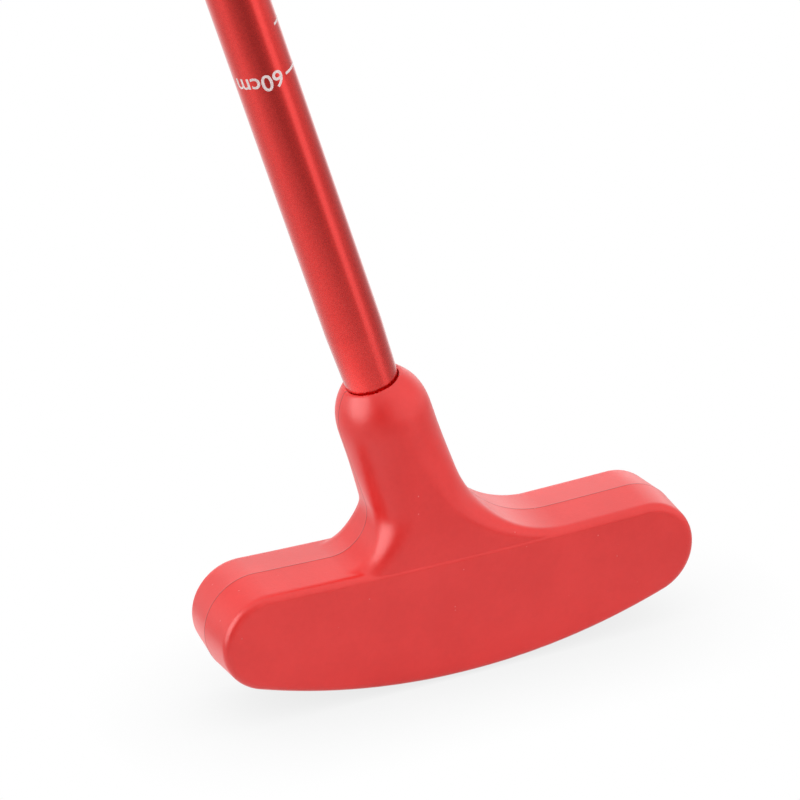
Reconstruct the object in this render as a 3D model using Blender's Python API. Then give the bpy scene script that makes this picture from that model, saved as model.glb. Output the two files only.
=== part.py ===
"""Two-way golf putter with a telescopic shaft.

A rubber head with a striking face at the front and at the back is moulded over a steel
core. A post on the core holds the lower tube, which carries the length scale and slides
in the upper tube. A lever clamp on the upper tube's mouth locks the length.

Metres, +Z up, +X from the heel to the toe, +Y from the front face to the back face. The
origin is on the shaft's axis, in the middle of the hands' hold on the grip. The head is
square to the axes with its sole on the ground, and the shaft leans away from the toe.
"""

import math

import bmesh
import bpy
from mathutils import Matrix, Vector

# The set-up of the whole club. Lengths are along the shaft, from the ground to the butt.
CLUB_LENGTH = 0.750
SHORTEST_LENGTH = 0.600
UPPER_LENGTH = 0.457
SHAFT_LEAN = math.radians(15.35)
SHAFT_GROUND_X = 0.00415

# Clearances
REST_GAP = 0.0003
SLIDE_GAP = 0.00015
RUN_GAP = 0.0001
CUT_OVERRUN = 0.002

# The two tubes and the bush between them
LOWER_RADIUS = 0.0060
LOWER_WALL = 0.0008
LOWER_EDGE = 0.0003
MOUTH_WALL = 0.00075
UPPER_WALL = 0.0008
SLIT_WIDTH = 0.0016
SLIT_LENGTH = 0.0280

# The head, between the two faces and across the parting plane y = 0
HEAD_LENGTH = 0.1091
HEAD_HEIGHT = 0.02965
TOP_HOLLOW_RADIUS = 1.430
SOLE_RADIUS = 0.1423
FACE_EDGE_RADIUS = 0.0019
HEAD_DRAFT = 0.0006

# The steel core inside the head, and the rubber round it
BAR_CHEEK = 0.0013
FACE_WALL = 0.00365
CROWN_WALL = 0.00565
SOLE_WALL = 0.00355
END_WALL = 0.01555
BAR_CORNER = 0.0020
POST_FLOOR = 0.0030
POST_BELOW_RIM = 0.0094
POST_CHAMFER = 0.0008
CORE_PIN_RADIUS = 0.0015
CORE_PIN_INSET = 0.0003

# The neck, which stands on the head along the shaft
NECK_WALL = 0.0037
NECK_RIM = 0.0714
NECK_RIM_LAND = 0.0007
NECK_DOME_RADIUS = 0.0125
NECK_HEEL_FILLET = 0.0087
NECK_TOE_FILLET = 0.0225
NECK_ROOT = 0.0030
NECK_ROOT_SQUARENESS = 4.0
NECK_ROUND_FROM = 0.625
NECK_SET_IN = 0.00035
TUBE_FOOT = 0.0078

# The guide at the lower tube's top
PLUG_DEPTH = 0.0180
PLUG_FLANGE = 0.0015
JOURNAL_RADIUS = 0.0035
GUIDE_LENGTH = 0.0120
GUIDE_EDGE = 0.0006
WASHER_THICKNESS = 0.0006
WASHER_LIP = 0.0017
SCREW_RADIUS = 0.0015
SCREW_LENGTH = 0.0110
SCREW_HEAD_RIM = 0.0014
SCREW_HEAD_HEIGHT = 0.0022
SCREW_SOCKET_RADIUS = 0.0013
SCREW_SOCKET_DEPTH = 0.0012
END_STOP_GAP = 0.0010

# The mouth of the upper tube, measured up from the clamp's lower edge
MOUTH_FLANGE_BOTTOM = 0.0005
MOUTH_FLANGE = 0.0017
MOUTH_SLEEVE = 0.0420

# The clamp
COLLAR_HEIGHT = 0.0260
COLLAR_WALL = 0.0029
COLLAR_EDGE = 0.0006
COLLAR_SPLIT = 0.0020
EAR_WIDTH = 0.0052
EAR_STEP = 0.0040
EAR_END = 0.0049
EAR_CORNER = 0.0030
BOLT_RADIUS = 0.0015
BOLT_TAIL = 0.0008
BOLT_FLUSH = 0.0005
NUT_RADIUS = 0.0046
NUT_THICKNESS = 0.0052
NUT_LOBES = 16
NUT_LOBE_DEPTH = 0.0003
NUT_ROOM = 0.0006
CAM_WASHER_RADIUS = 0.0045
CAM_WASHER_THICKNESS = 0.0017
PIN_CHEEK = 0.0007
PIN_OVERHANG = 0.0006
CAM_WALL = 0.0019
CAM_THROW = 0.0005
LEVER_STEP = 0.0010
FORK_ROOM = 0.0007
LEVER_THICKNESS = 0.0028
LEVER_ROOM = 0.0010
LEVER_START_ANGLE = math.radians(12)
LEVER_TIP_ANGLE = math.radians(-78)
LEVER_TIP_LIFT = 0.0022
LEVER_LIFT_FROM = 0.7

# The grip
GRIP_LENGTH = 0.2320
GRIP_LIP_WALL = 0.0015
GRIP_BUTT_WALL = 0.0045
GRIP_LIP = 0.0060
GRIP_LIP_EDGE = 0.0006
GRIP_SWELL = 1.5
GRIP_RINGS = 4
GRIP_RING_PITCH = 0.0050
GRIP_RING_WIDTH = 0.0016
GRIP_RING_DEPTH = 0.0006
TAPE_THICKNESS = 0.0003
TAPE_INSET = 0.0060
CAP_THICKNESS = 0.0040
CAP_EDGE = 0.0015
CAP_PLUG = 0.0100
VENT_RADIUS = 0.0012

# How finely round shapes are cut
TUBE_SIDES = 40
SMALL_SIDES = 24
NECK_SIDES = 40
TOP_STEPS = 4
END_STEPS = 16
SOLE_STEPS = 8
FACE_EDGE_STEPS = 4
FILLET_STEPS = 10
DOME_STEPS = 6
LEVER_STEPS = 14
CAM_STEPS = 16
TIP_STEPS = 6
SWELL_STEPS = 8
CORNER_STEPS = 3
SMOOTH_ANGLE = math.radians(35)

# Numbers of geometry
CIRCLE_POWER = 2.0
SAME_PLACE = 1e-6
SOLVED = 1e-9

# Sizes that follow from those above
LOWER_BORE = LOWER_RADIUS - LOWER_WALL
POST_RADIUS = LOWER_BORE - REST_GAP
POST_HOLE = POST_RADIUS + REST_GAP
BAR_THICKNESS = 2 * (POST_HOLE + BAR_CHEEK)
BAR_LENGTH = HEAD_LENGTH - 2 * END_WALL
BAR_BOTTOM = SOLE_RADIUS - math.sqrt(SOLE_RADIUS**2 - (BAR_LENGTH / 2) ** 2) + SOLE_WALL
BAR_TOP = HEAD_HEIGHT - CROWN_WALL
HEAD_THICKNESS = BAR_THICKNESS + 2 * (REST_GAP + FACE_WALL)
HOSEL_BORE = LOWER_RADIUS + REST_GAP
NECK_RADIUS = HOSEL_BORE + NECK_WALL
NECK_RIM_RADIUS = HOSEL_BORE + NECK_RIM_LAND
UPPER_BORE = LOWER_RADIUS + SLIDE_GAP + MOUTH_WALL + REST_GAP
UPPER_RADIUS = UPPER_BORE + UPPER_WALL
COLLAR_BORE = UPPER_RADIUS + REST_GAP
COLLAR_RADIUS = COLLAR_BORE + COLLAR_WALL
TAPE_BORE = UPPER_RADIUS + REST_GAP
GRIP_BORE = TAPE_BORE + TAPE_THICKNESS + REST_GAP
GRIP_LIP_RADIUS = GRIP_BORE + GRIP_LIP_WALL
GRIP_BUTT_RADIUS = GRIP_BORE + GRIP_BUTT_WALL
EAR_HEIGHT = COLLAR_HEIGHT - 2 * EAR_STEP
LEVER_HEIGHT = EAR_HEIGHT - 2 * LEVER_STEP
LEVER_FORK = 2 * (BOLT_RADIUS + FORK_ROOM)
BOLT_HOLE = BOLT_RADIUS + REST_GAP
PIN_RADIUS = BOLT_HOLE + PIN_CHEEK
CAM_RADIUS = PIN_RADIUS + RUN_GAP + CAM_WALL

# Places along the shaft from the ground
POST_BOTTOM = (BAR_BOTTOM + POST_FLOOR) / math.cos(SHAFT_LEAN)
CORE_PIN_HEIGHT = (BAR_BOTTOM + BAR_TOP) / 2 / math.cos(SHAFT_LEAN)
LOWER_BOTTOM = (BAR_TOP + TUBE_FOOT) / math.cos(SHAFT_LEAN)
POST_TOP = NECK_RIM - POST_BELOW_RIM
JOURNAL_LENGTH = GUIDE_LENGTH + 2 * REST_GAP
GUIDE_STACK = PLUG_FLANGE + JOURNAL_LENGTH + WASHER_THICKNESS + SCREW_HEAD_HEIGHT + 3 * REST_GAP
LOWER_TOP = SHORTEST_LENGTH - CAP_THICKNESS - CAP_PLUG - END_STOP_GAP - GUIDE_STACK
CLAMP_EDGE = CLUB_LENGTH - UPPER_LENGTH

# Places along the shaft from the clamp's lower edge
UPPER_BOTTOM = MOUTH_FLANGE_BOTTOM + MOUTH_FLANGE + REST_GAP
UPPER_TOP = UPPER_LENGTH - CAP_THICKNESS - REST_GAP
GRIP_BOTTOM = UPPER_TOP - GRIP_LENGTH
BOLT_HEIGHT = COLLAR_HEIGHT / 2

# Places across the shaft
EAR_FACE = COLLAR_SPLIT / 2 + EAR_WIDTH
NUT_REACH = max(NUT_RADIUS + NUT_LOBE_DEPTH, CAM_WASHER_RADIUS)
BOLT_Y = math.sqrt(COLLAR_RADIUS**2 - EAR_FACE**2) + NUT_REACH + NUT_ROOM
CAM_WASHER_X = EAR_FACE + REST_GAP
PIN_X = CAM_WASHER_X + CAM_WASHER_THICKNESS + REST_GAP + CAM_RADIUS + CAM_THROW
LEVER_MIDDLE = COLLAR_RADIUS + LEVER_ROOM + LEVER_THICKNESS / 2

# The frame: the origin is in the middle of the grip, on the shaft's axis.
SHAFT_DIRECTION = Vector((-math.sin(SHAFT_LEAN), 0, math.cos(SHAFT_LEAN)))
GROUND_POINT = -SHAFT_DIRECTION * (CLAMP_EDGE + GRIP_BOTTOM + GRIP_LENGTH / 2)
HEAD_CENTRE = GROUND_POINT - Vector((SHAFT_GROUND_X, 0, 0))


def clear_scene():
    for obj in list(bpy.data.objects):
        bpy.data.objects.remove(obj, do_unlink=True)


def material(name, colour, roughness, metallic=0.0):
    made = bpy.data.materials.new(name)
    made.use_nodes = True
    shader = made.node_tree.nodes["Principled BSDF"]
    shader.inputs["Base Color"].default_value = (*colour, 1)
    shader.inputs["Roughness"].default_value = roughness
    shader.inputs["Metallic"].default_value = metallic
    made.diffuse_color = (*colour, 1)
    return made


def empty(name, location, parent=None, lean=0.0):
    made = bpy.data.objects.new(name, None)
    made.location = location
    made.rotation_euler = (0, lean, 0)
    made.parent = parent
    made.empty_display_size = HEAD_THICKNESS
    bpy.context.scene.collection.objects.link(made)
    return made


def solid(name, bm, parent, finish, location=(0, 0, 0)):
    """The mesh as a named object with its own finish, smooth but for its sharp edges."""
    bmesh.ops.recalc_face_normals(bm, faces=bm.faces)
    mesh = bpy.data.meshes.new(name)
    bm.to_mesh(mesh)
    bm.free()
    mesh.shade_smooth()
    mesh.set_sharp_from_angle(angle=SMOOTH_ANGLE)
    made = bpy.data.objects.new(name, mesh)
    made.location = location
    made.parent = parent
    if finish:
        mesh.materials.append(finish)
    bpy.context.scene.collection.objects.link(made)
    return made


def helper(name, bm, parent, location=(0, 0, 0)):
    """A shape that only adds to or cuts another one."""
    made = solid(name, bm, parent, None, location)
    made.hide_render = True
    made.display_type = "WIRE"
    return made


def combine(target, operation, tool):
    change = target.modifiers.new(tool.name, "BOOLEAN")
    change.operation = operation
    change.object = tool
    change.solver = "EXACT"


def skinned(rings, wrap=False):
    """A closed mesh over rings of points. One point is a pole, and wrap joins the last ring to the first."""
    bm = bmesh.new()
    loops = [[bm.verts.new(point) for point in ring] for ring in rings]
    pairs = list(zip(loops, loops[1:]))
    if wrap:
        pairs.append((loops[-1], loops[0]))
    for low, high in pairs:
        count = max(len(low), len(high))
        for i in range(count):
            j = (i + 1) % count
            if len(low) == 1:
                bm.faces.new((low[0], high[j], high[i]))
            elif len(high) == 1:
                bm.faces.new((low[i], low[j], high[0]))
            else:
                bm.faces.new((low[i], low[j], high[j], high[i]))
    if not wrap:
        for end in (loops[0], loops[-1]):
            if len(end) > 1:
                bm.faces.new(end)
    return bm


def turned(profile, sides=TUBE_SIDES, wrap=False):
    """A shape turned about Z from (radius, height) points. With wrap the points go round a ring's section."""
    rings = []
    for radius, height in profile:
        if radius == 0:
            rings.append([(0, 0, height)])
            continue
        turns = [2 * math.pi * k / sides for k in range(sides)]
        rings.append([(radius * math.cos(a), radius * math.sin(a), height) for a in turns])
    return skinned(rings, wrap)


def sleeve(inner, outer, bottom, top, sides=TUBE_SIDES, edge=0.0):
    """A plain tube, with its outer edges broken where edge isn't 0."""
    profile = [(inner, bottom), (inner, top), (outer - edge, top), (outer, top - edge)]
    profile += [(outer, bottom + edge), (outer - edge, bottom)]
    if edge == 0:
        profile = [(inner, bottom), (inner, top), (outer, top), (outer, bottom)]
    return turned(profile, sides, wrap=True)


def rod(radius, bottom, top, sides=SMALL_SIDES, edge=0.0):
    profile = [(0, bottom), (radius - edge, bottom), (radius, bottom + edge)]
    profile += [(radius, top - edge), (radius - edge, top), (0, top)]
    if edge == 0:
        profile = [(0, bottom), (radius, bottom), (radius, top), (0, top)]
    return turned(profile, sides)


def prism(outline, bottom, top):
    return skinned([[(x, y, z) for x, y in outline] for z in (bottom, top)])


def block(low, high):
    """A box between two corners."""
    bm = bmesh.new()
    bmesh.ops.create_cube(bm, size=1)
    middle = (Vector(low) + Vector(high)) / 2
    size = Vector(high) - Vector(low)
    bmesh.ops.scale(bm, vec=size, verts=bm.verts)
    bmesh.ops.translate(bm, vec=middle, verts=bm.verts)
    return bm


def bevelled(bm, width, segments, picked):
    """The mesh with the edges that picked says yes to rounded off."""
    edges = [edge for edge in bm.edges if picked(edge)]
    bmesh.ops.bevel(bm, geom=edges, offset=width, segments=segments, profile=0.5, affect="EDGES")
    return bm


def along(axis, bm, move=(0, 0, 0)):
    """The mesh with its Z turned to X or Y, then moved."""
    turn = {"X": Matrix.Rotation(math.pi / 2, 3, "Y"), "Y": Matrix.Rotation(-math.pi / 2, 3, "X")}
    bmesh.ops.rotate(bm, cent=(0, 0, 0), matrix=turn[axis], verts=bm.verts)
    bmesh.ops.translate(bm, vec=move, verts=bm.verts)
    return bm


def arc(centre, radius, start, end, steps, first=0):
    """Points on an arc from one angle to another, leaving out as many as first says."""
    found = []
    for k in range(first, steps + 1):
        angle = start + (end - start) * k / steps
        found.append((centre[0] + radius * math.cos(angle), centre[1] + radius * math.sin(angle)))
    return found


def angle_from(a, b):
    return math.atan2(b[1] - a[1], b[0] - a[0])


def end_circle():
    """The round end's centre and radius: the circle that touches the top, the end and the sole."""
    low, high = 0.0, min(HEAD_LENGTH, HEAD_HEIGHT) / 2
    while high - low > SOLVED:
        radius = (low + high) / 2
        x = HEAD_LENGTH / 2 - radius
        under_top = HEAD_HEIGHT + TOP_HOLLOW_RADIUS - math.sqrt((TOP_HOLLOW_RADIUS + radius) ** 2 - x**2)
        over_sole = SOLE_RADIUS - math.sqrt((SOLE_RADIUS - radius) ** 2 - x**2)
        if under_top > over_sole:
            low = radius
        else:
            high = radius
    return (x, under_top), radius


def head_outline(inset):
    """The head's outline in XZ, drawn in by inset: a slightly hollow top, round ends and a rockered sole."""
    top_centre = (0, HEAD_HEIGHT + TOP_HOLLOW_RADIUS)
    sole_centre = (0, SOLE_RADIUS)
    end_centre, end_radius = end_circle()
    top_turn = angle_from(end_centre, top_centre)
    sole_turn = angle_from(sole_centre, end_centre)
    top_end = angle_from(top_centre, end_centre)
    half = arc(top_centre, TOP_HOLLOW_RADIUS + inset, -math.pi / 2, top_end, TOP_STEPS)
    half += arc(end_centre, end_radius - inset, top_turn, sole_turn, END_STEPS, first=1)
    half += arc(sole_centre, SOLE_RADIUS - inset, sole_turn, -math.pi / 2, SOLE_STEPS, first=1)
    return half + [(-x, z) for x, z in reversed(half[1:-1])]


def head_block():
    """The head without its neck: the outline carried from face to face, with draft and round face edges."""
    half = HEAD_THICKNESS / 2
    sides = []
    for k in range(FACE_EDGE_STEPS + 1):
        turn = math.pi / 2 * (1 - k / FACE_EDGE_STEPS)
        reach = half - FACE_EDGE_RADIUS * (1 - math.sin(turn))
        sides.append((reach, HEAD_DRAFT + FACE_EDGE_RADIUS * (1 - math.cos(turn))))
    levels = [(-y, inset) for y, inset in sides] + [(0, 0)] + [(y, inset) for y, inset in reversed(sides)]
    return skinned([[(x, y, z) for x, z in head_outline(inset)] for y, inset in levels])


def neck_side(side):
    """The neck's outline in the parting plane from root to rim: side is -1 for the heel and 1 for the toe.

    Offset is measured square to the shaft's axis, and rise along it from the ground.
    """
    cos, sin = math.cos(SHAFT_LEAN), math.sin(SHAFT_LEAN)
    fillet = NECK_HEEL_FILLET if side < 0 else NECK_TOE_FILLET
    corner_angle = math.pi / 2 + side * SHAFT_LEAN
    tangent = fillet / math.tan(corner_angle / 2)
    corner_x = SHAFT_GROUND_X - HEAD_HEIGHT * math.tan(SHAFT_LEAN) + side * NECK_RADIUS / cos
    foot = corner_x + side * tangent
    centre = (foot, HEAD_HEIGHT + fillet)
    sweep = side * -(math.pi - corner_angle)
    points = [(foot + side * NECK_ROOT, HEAD_HEIGHT - NECK_ROOT)]
    points += arc(centre, fillet, -math.pi / 2, -math.pi / 2 + sweep, FILLET_STEPS)
    dome_drop = math.sqrt(NECK_DOME_RADIUS**2 - (NECK_RIM_RADIUS - NECK_RADIUS + NECK_DOME_RADIUS) ** 2)
    dome_centre = (NECK_RADIUS - NECK_DOME_RADIUS, NECK_RIM - dome_drop)
    dome_end = angle_from(dome_centre, (NECK_RIM_RADIUS, NECK_RIM))
    for offset, rise in arc(dome_centre, NECK_DOME_RADIUS, 0, dome_end, DOME_STEPS):
        x = SHAFT_GROUND_X - rise * sin + side * offset * cos
        z = rise * cos + side * offset * sin
        points.append((x, z))
    return points


def neck():
    """The neck as rings from side to side: near square in its root and round at its rim."""
    heel, toe = neck_side(-1), neck_side(1)
    rings = []
    for k, (left, right) in enumerate(zip(heel, toe)):
        share = k / (len(heel) - 1)
        middle = ((left[0] + right[0]) / 2, (left[1] + right[1]) / 2)
        reach = ((right[0] - left[0]) / 2, (right[1] - left[1]) / 2)
        base_depth = HEAD_THICKNESS / 2 - NECK_SET_IN
        depth = min(math.hypot(*reach), NECK_RADIUS + (base_depth - NECK_RADIUS) * (1 - share))
        roundness = min(1, share / NECK_ROUND_FROM)
        power = 2 / (NECK_ROOT_SQUARENESS + (CIRCLE_POWER - NECK_ROOT_SQUARENESS) * roundness)
        ring = []
        for i in range(NECK_SIDES):
            turn = 2 * math.pi * i / NECK_SIDES
            cos, sin = math.cos(turn), math.sin(turn)
            u = math.copysign(abs(cos) ** power, cos)
            v = math.copysign(abs(sin) ** power, sin)
            ring.append((middle[0] + reach[0] * u, depth * v, middle[1] + reach[1] * u))
        rings.append(ring)
    return skinned(rings)


def make_head(head_frame, lower_frame):
    rubber = material("red_rubber", (0.640, 0.055, 0.053), 0.55)
    steel = material("core_steel", (0.42, 0.43, 0.45), 0.35, 1.0)
    head = solid("rubber_head", head_block(), head_frame, rubber)
    combine(head, "UNION", helper("neck_shape", neck(), head_frame))

    hollow = helper("core_hollow", bar_block(REST_GAP), head_frame)
    post_room = rod(POST_HOLE, POST_BOTTOM - REST_GAP, LOWER_BOTTOM, TUBE_SIDES)
    post_cut = helper("post_room", post_room, lower_frame)
    combine(hollow, "UNION", post_cut)
    bore = rod(HOSEL_BORE, LOWER_BOTTOM - REST_GAP, NECK_RIM + CUT_OVERRUN, TUBE_SIDES)
    combine(hollow, "UNION", helper("hosel_bore", bore, lower_frame))
    combine(head, "DIFFERENCE", hollow)

    bar = solid("weight_bar", bar_block(0), head_frame, steel)
    combine(bar, "DIFFERENCE", post_cut)
    pin_place = (0, 0, CORE_PIN_HEIGHT)
    pin_hole = rod(CORE_PIN_RADIUS + REST_GAP, -HEAD_THICKNESS / 2, HEAD_THICKNESS / 2)
    pin_cut = helper("core_pin_hole", along("Y", pin_hole, pin_place), lower_frame)
    combine(bar, "DIFFERENCE", pin_cut)
    post_body = rod(POST_RADIUS, POST_BOTTOM, POST_TOP, TUBE_SIDES, POST_CHAMFER)
    post = solid("hosel_post", post_body, lower_frame, steel)
    combine(post, "DIFFERENCE", pin_cut)
    pin_reach = BAR_THICKNESS / 2 - CORE_PIN_INSET
    pin = rod(CORE_PIN_RADIUS, -pin_reach, pin_reach, edge=REST_GAP)
    solid("core_pin", along("Y", pin, pin_place), lower_frame, steel)


def bar_block(room):
    """The core's bar, or with room the space round it."""
    low = (-BAR_LENGTH / 2 - room, -BAR_THICKNESS / 2 - room, BAR_BOTTOM - room)
    high = (BAR_LENGTH / 2 + room, BAR_THICKNESS / 2 + room, BAR_TOP + room)

    def across(edge):
        first, second = edge.verts
        return abs(first.co.y - second.co.y) > BAR_THICKNESS / 2

    return bevelled(block(low, high), BAR_CORNER + room, CORNER_STEPS, across)


def make_lower_shaft(lower_frame):
    red = material("red_anodised_tube", (0.48, 0.035, 0.035), 0.32, 1.0)
    plastic = material("guide_plastic", (0.03, 0.03, 0.032), 0.5)
    plug_finish = material("plug_aluminium", (0.72, 0.72, 0.74), 0.35, 1.0)
    screw_steel = material("screw_steel", (0.5, 0.5, 0.52), 0.3, 1.0)
    washer_steel = material("washer_steel", (0.6, 0.6, 0.62), 0.3, 1.0)
    tube = sleeve(LOWER_BORE, LOWER_RADIUS, LOWER_BOTTOM, LOWER_TOP, edge=LOWER_EDGE)
    solid("lower_tube", tube, lower_frame, red)

    flange_bottom = LOWER_TOP + REST_GAP
    journal_bottom = flange_bottom + PLUG_FLANGE
    journal_top = journal_bottom + JOURNAL_LENGTH
    plug_bottom = LOWER_TOP - PLUG_DEPTH
    plug_radius = LOWER_BORE - REST_GAP
    thread = SCREW_RADIUS + REST_GAP
    thread_bottom = journal_top + REST_GAP + WASHER_THICKNESS - SCREW_LENGTH
    plug = [(0, plug_bottom), (plug_radius, plug_bottom), (plug_radius, flange_bottom)]
    plug += [(LOWER_RADIUS, flange_bottom), (LOWER_RADIUS, journal_bottom), (JOURNAL_RADIUS, journal_bottom)]
    plug += [(JOURNAL_RADIUS, journal_top), (thread, journal_top)]
    plug += [(thread, thread_bottom), (0, thread_bottom)]
    solid("end_plug", turned(plug), lower_frame, plug_finish)

    guide_bottom = journal_bottom + REST_GAP
    guide_top = guide_bottom + GUIDE_LENGTH
    guide_radius = UPPER_BORE - SLIDE_GAP
    guide = sleeve(JOURNAL_RADIUS + RUN_GAP, guide_radius, guide_bottom, guide_top, edge=GUIDE_EDGE)
    solid("guide_bush", guide, lower_frame, plastic)

    washer_bottom = journal_top + REST_GAP
    washer_top = washer_bottom + WASHER_THICKNESS
    washer = sleeve(thread, JOURNAL_RADIUS + WASHER_LIP, washer_bottom, washer_top, SMALL_SIDES)
    solid("guide_washer", washer, lower_frame, washer_steel)

    head_bottom = washer_top + REST_GAP
    head_top = head_bottom + SCREW_HEAD_HEIGHT
    shank_bottom = thread_bottom + REST_GAP
    screw = [(0, shank_bottom), (SCREW_RADIUS, shank_bottom), (SCREW_RADIUS, head_bottom)]
    screw_head = SCREW_RADIUS + SCREW_HEAD_RIM
    screw += [(screw_head, head_bottom), (screw_head, head_top)]
    screw += [(SCREW_SOCKET_RADIUS, head_top), (SCREW_SOCKET_RADIUS, head_top - SCREW_SOCKET_DEPTH)]
    screw += [(0, head_top - SCREW_SOCKET_DEPTH)]
    solid("guide_screw", turned(screw, SMALL_SIDES), lower_frame, screw_steel)


def make_upper_shaft(upper_frame):
    red = material("red_anodised_upper", (0.48, 0.035, 0.035), 0.32, 1.0)
    plastic = material("mouth_plastic", (0.03, 0.03, 0.032), 0.5)
    slit_top = UPPER_BOTTOM + SLIT_LENGTH
    slit_low = (-SLIT_WIDTH / 2, 0, -CUT_OVERRUN)
    slit_high = (SLIT_WIDTH / 2, UPPER_RADIUS + CUT_OVERRUN, slit_top)
    slit = helper("mouth_slit", block(slit_low, slit_high), upper_frame)
    tube = sleeve(UPPER_BORE, UPPER_RADIUS, UPPER_BOTTOM, UPPER_TOP)
    combine(solid("upper_tube", tube, upper_frame, red), "DIFFERENCE", slit)

    inner = LOWER_RADIUS + SLIDE_GAP
    outer = UPPER_BORE - REST_GAP
    flange_top = MOUTH_FLANGE_BOTTOM + MOUTH_FLANGE
    bush = [(inner, MOUTH_FLANGE_BOTTOM), (inner, MOUTH_SLEEVE), (outer, MOUTH_SLEEVE), (outer, flange_top)]
    bush += [(UPPER_RADIUS, flange_top), (UPPER_RADIUS, MOUTH_FLANGE_BOTTOM)]
    combine(solid("mouth_bush", turned(bush, wrap=True), upper_frame, plastic), "DIFFERENCE", slit)


def ear_block(side):
    """One ear, from the middle of the collar's wall outwards. The split cuts its inner face later."""
    low = (side * COLLAR_SPLIT / 4, COLLAR_BORE + COLLAR_WALL / 2, EAR_STEP)
    high = (side * EAR_FACE, BOLT_Y + EAR_END, COLLAR_HEIGHT - EAR_STEP)
    low, high = [min(a, b) for a, b in zip(low, high)], [max(a, b) for a, b in zip(low, high)]

    def outer_end(edge):
        first, second = edge.verts
        level = abs(first.co.z - second.co.z) < SAME_PLACE
        across = abs(first.co.x - second.co.x) > EAR_WIDTH / 2
        return level and across and min(first.co.y, second.co.y) > BOLT_Y

    return bevelled(block(low, high), EAR_CORNER, CORNER_STEPS, outer_end)


def make_clamp(upper_frame):
    plastic = material("clamp_plastic", (0.035, 0.035, 0.038), 0.45)
    bolt_steel = material("bolt_steel", (0.5, 0.5, 0.52), 0.3, 1.0)
    nut_finish = material("nut_aluminium", (0.7, 0.7, 0.72), 0.35, 1.0)
    washer_brass = material("cam_washer_brass", (0.66, 0.50, 0.22), 0.35, 1.0)
    pin_steel = material("pin_steel", (0.55, 0.55, 0.57), 0.28, 1.0)

    ring = sleeve(COLLAR_BORE, COLLAR_RADIUS, 0, COLLAR_HEIGHT, edge=COLLAR_EDGE)
    collar = solid("clamp_collar", ring, upper_frame, plastic)
    for side, name in ((-1, "nut_ear"), (1, "cam_ear")):
        combine(collar, "UNION", helper(name, ear_block(side), upper_frame))
    split_low = (-COLLAR_SPLIT / 2, 0, -CUT_OVERRUN)
    split_high = (COLLAR_SPLIT / 2, BOLT_Y + EAR_END + CUT_OVERRUN, COLLAR_HEIGHT + CUT_OVERRUN)
    combine(collar, "DIFFERENCE", helper("collar_split", block(split_low, split_high), upper_frame))
    place = (0, BOLT_Y, BOLT_HEIGHT)
    reach = EAR_FACE + CUT_OVERRUN
    bolt_room = along("X", rod(BOLT_HOLE, -reach, reach), place)
    combine(collar, "DIFFERENCE", helper("ear_hole", bolt_room, upper_frame))

    nut_inner = EAR_FACE + REST_GAP
    nut_outer = nut_inner + NUT_THICKNESS
    nut = along("X", knurled_nut(), (-nut_outer, BOLT_Y, BOLT_HEIGHT))
    solid("thumb_nut", nut, upper_frame, nut_finish)

    bolt_end = PIN_X + PIN_RADIUS - BOLT_FLUSH
    bolt = along("X", rod(BOLT_RADIUS, -nut_outer - BOLT_TAIL, bolt_end, edge=REST_GAP), place)
    solid("clamp_bolt", bolt, upper_frame, bolt_steel)

    washer_end = CAM_WASHER_X + CAM_WASHER_THICKNESS
    washer = along("X", sleeve(BOLT_HOLE, CAM_WASHER_RADIUS, CAM_WASHER_X, washer_end, SMALL_SIDES), place)
    solid("cam_washer", washer, upper_frame, washer_brass)

    pin_reach = LEVER_HEIGHT / 2 + PIN_OVERHANG
    pin_body = rod(PIN_RADIUS, -pin_reach, pin_reach, edge=REST_GAP)
    pin = solid("lever_pin", pin_body, upper_frame, pin_steel, (PIN_X, BOLT_Y, BOLT_HEIGHT))
    pin_room = rod(BOLT_HOLE, PIN_X - PIN_RADIUS - CUT_OVERRUN, PIN_X + PIN_RADIUS + CUT_OVERRUN)
    combine(pin, "DIFFERENCE", helper("pin_cross_hole", along("X", pin_room, place), upper_frame))


def knurled_nut():
    """A round nut with a lobed rim, from 0 to its thickness along Z."""
    count = NUT_LOBES * 4
    rings = []
    for radius, height in ((0, 0), (0, NUT_THICKNESS), (NUT_RADIUS, NUT_THICKNESS), (NUT_RADIUS, 0)):
        ring = []
        for k in range(count):
            turn = 2 * math.pi * k / count
            reach = BOLT_HOLE if radius == 0 else radius + NUT_LOBE_DEPTH * math.cos(NUT_LOBES * turn)
            ring.append((reach * math.cos(turn), reach * math.sin(turn), height))
        rings.append(ring)
    return skinned(rings, wrap=True)


def lever_outline():
    """The lever seen along the shaft, about its pin: an eccentric cam, and an arm that hugs the collar."""
    cam = (-CAM_THROW, 0)
    outline = arc(cam, CAM_RADIUS, math.pi, 0, CAM_STEPS)
    outer, inner = [], []
    for k in range(LEVER_STEPS + 1):
        share = k / LEVER_STEPS
        turn = LEVER_START_ANGLE + (LEVER_TIP_ANGLE - LEVER_START_ANGLE) * share
        lift = LEVER_TIP_LIFT * max(0, share - LEVER_LIFT_FROM) / (1 - LEVER_LIFT_FROM)
        middle = LEVER_MIDDLE + lift
        half = LEVER_THICKNESS / 2
        for side, reach in ((outer, middle + half), (inner, middle - half)):
            side.append((reach * math.cos(turn) - PIN_X, reach * math.sin(turn) - BOLT_Y))
    tip = ((outer[-1][0] + inner[-1][0]) / 2, (outer[-1][1] + inner[-1][1]) / 2)
    facing = angle_from(tip, outer[-1])
    round_tip = arc(tip, LEVER_THICKNESS / 2, facing, facing - math.pi, TIP_STEPS)
    return outline + outer[:-1] + round_tip + list(reversed(inner[:-1]))


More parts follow.
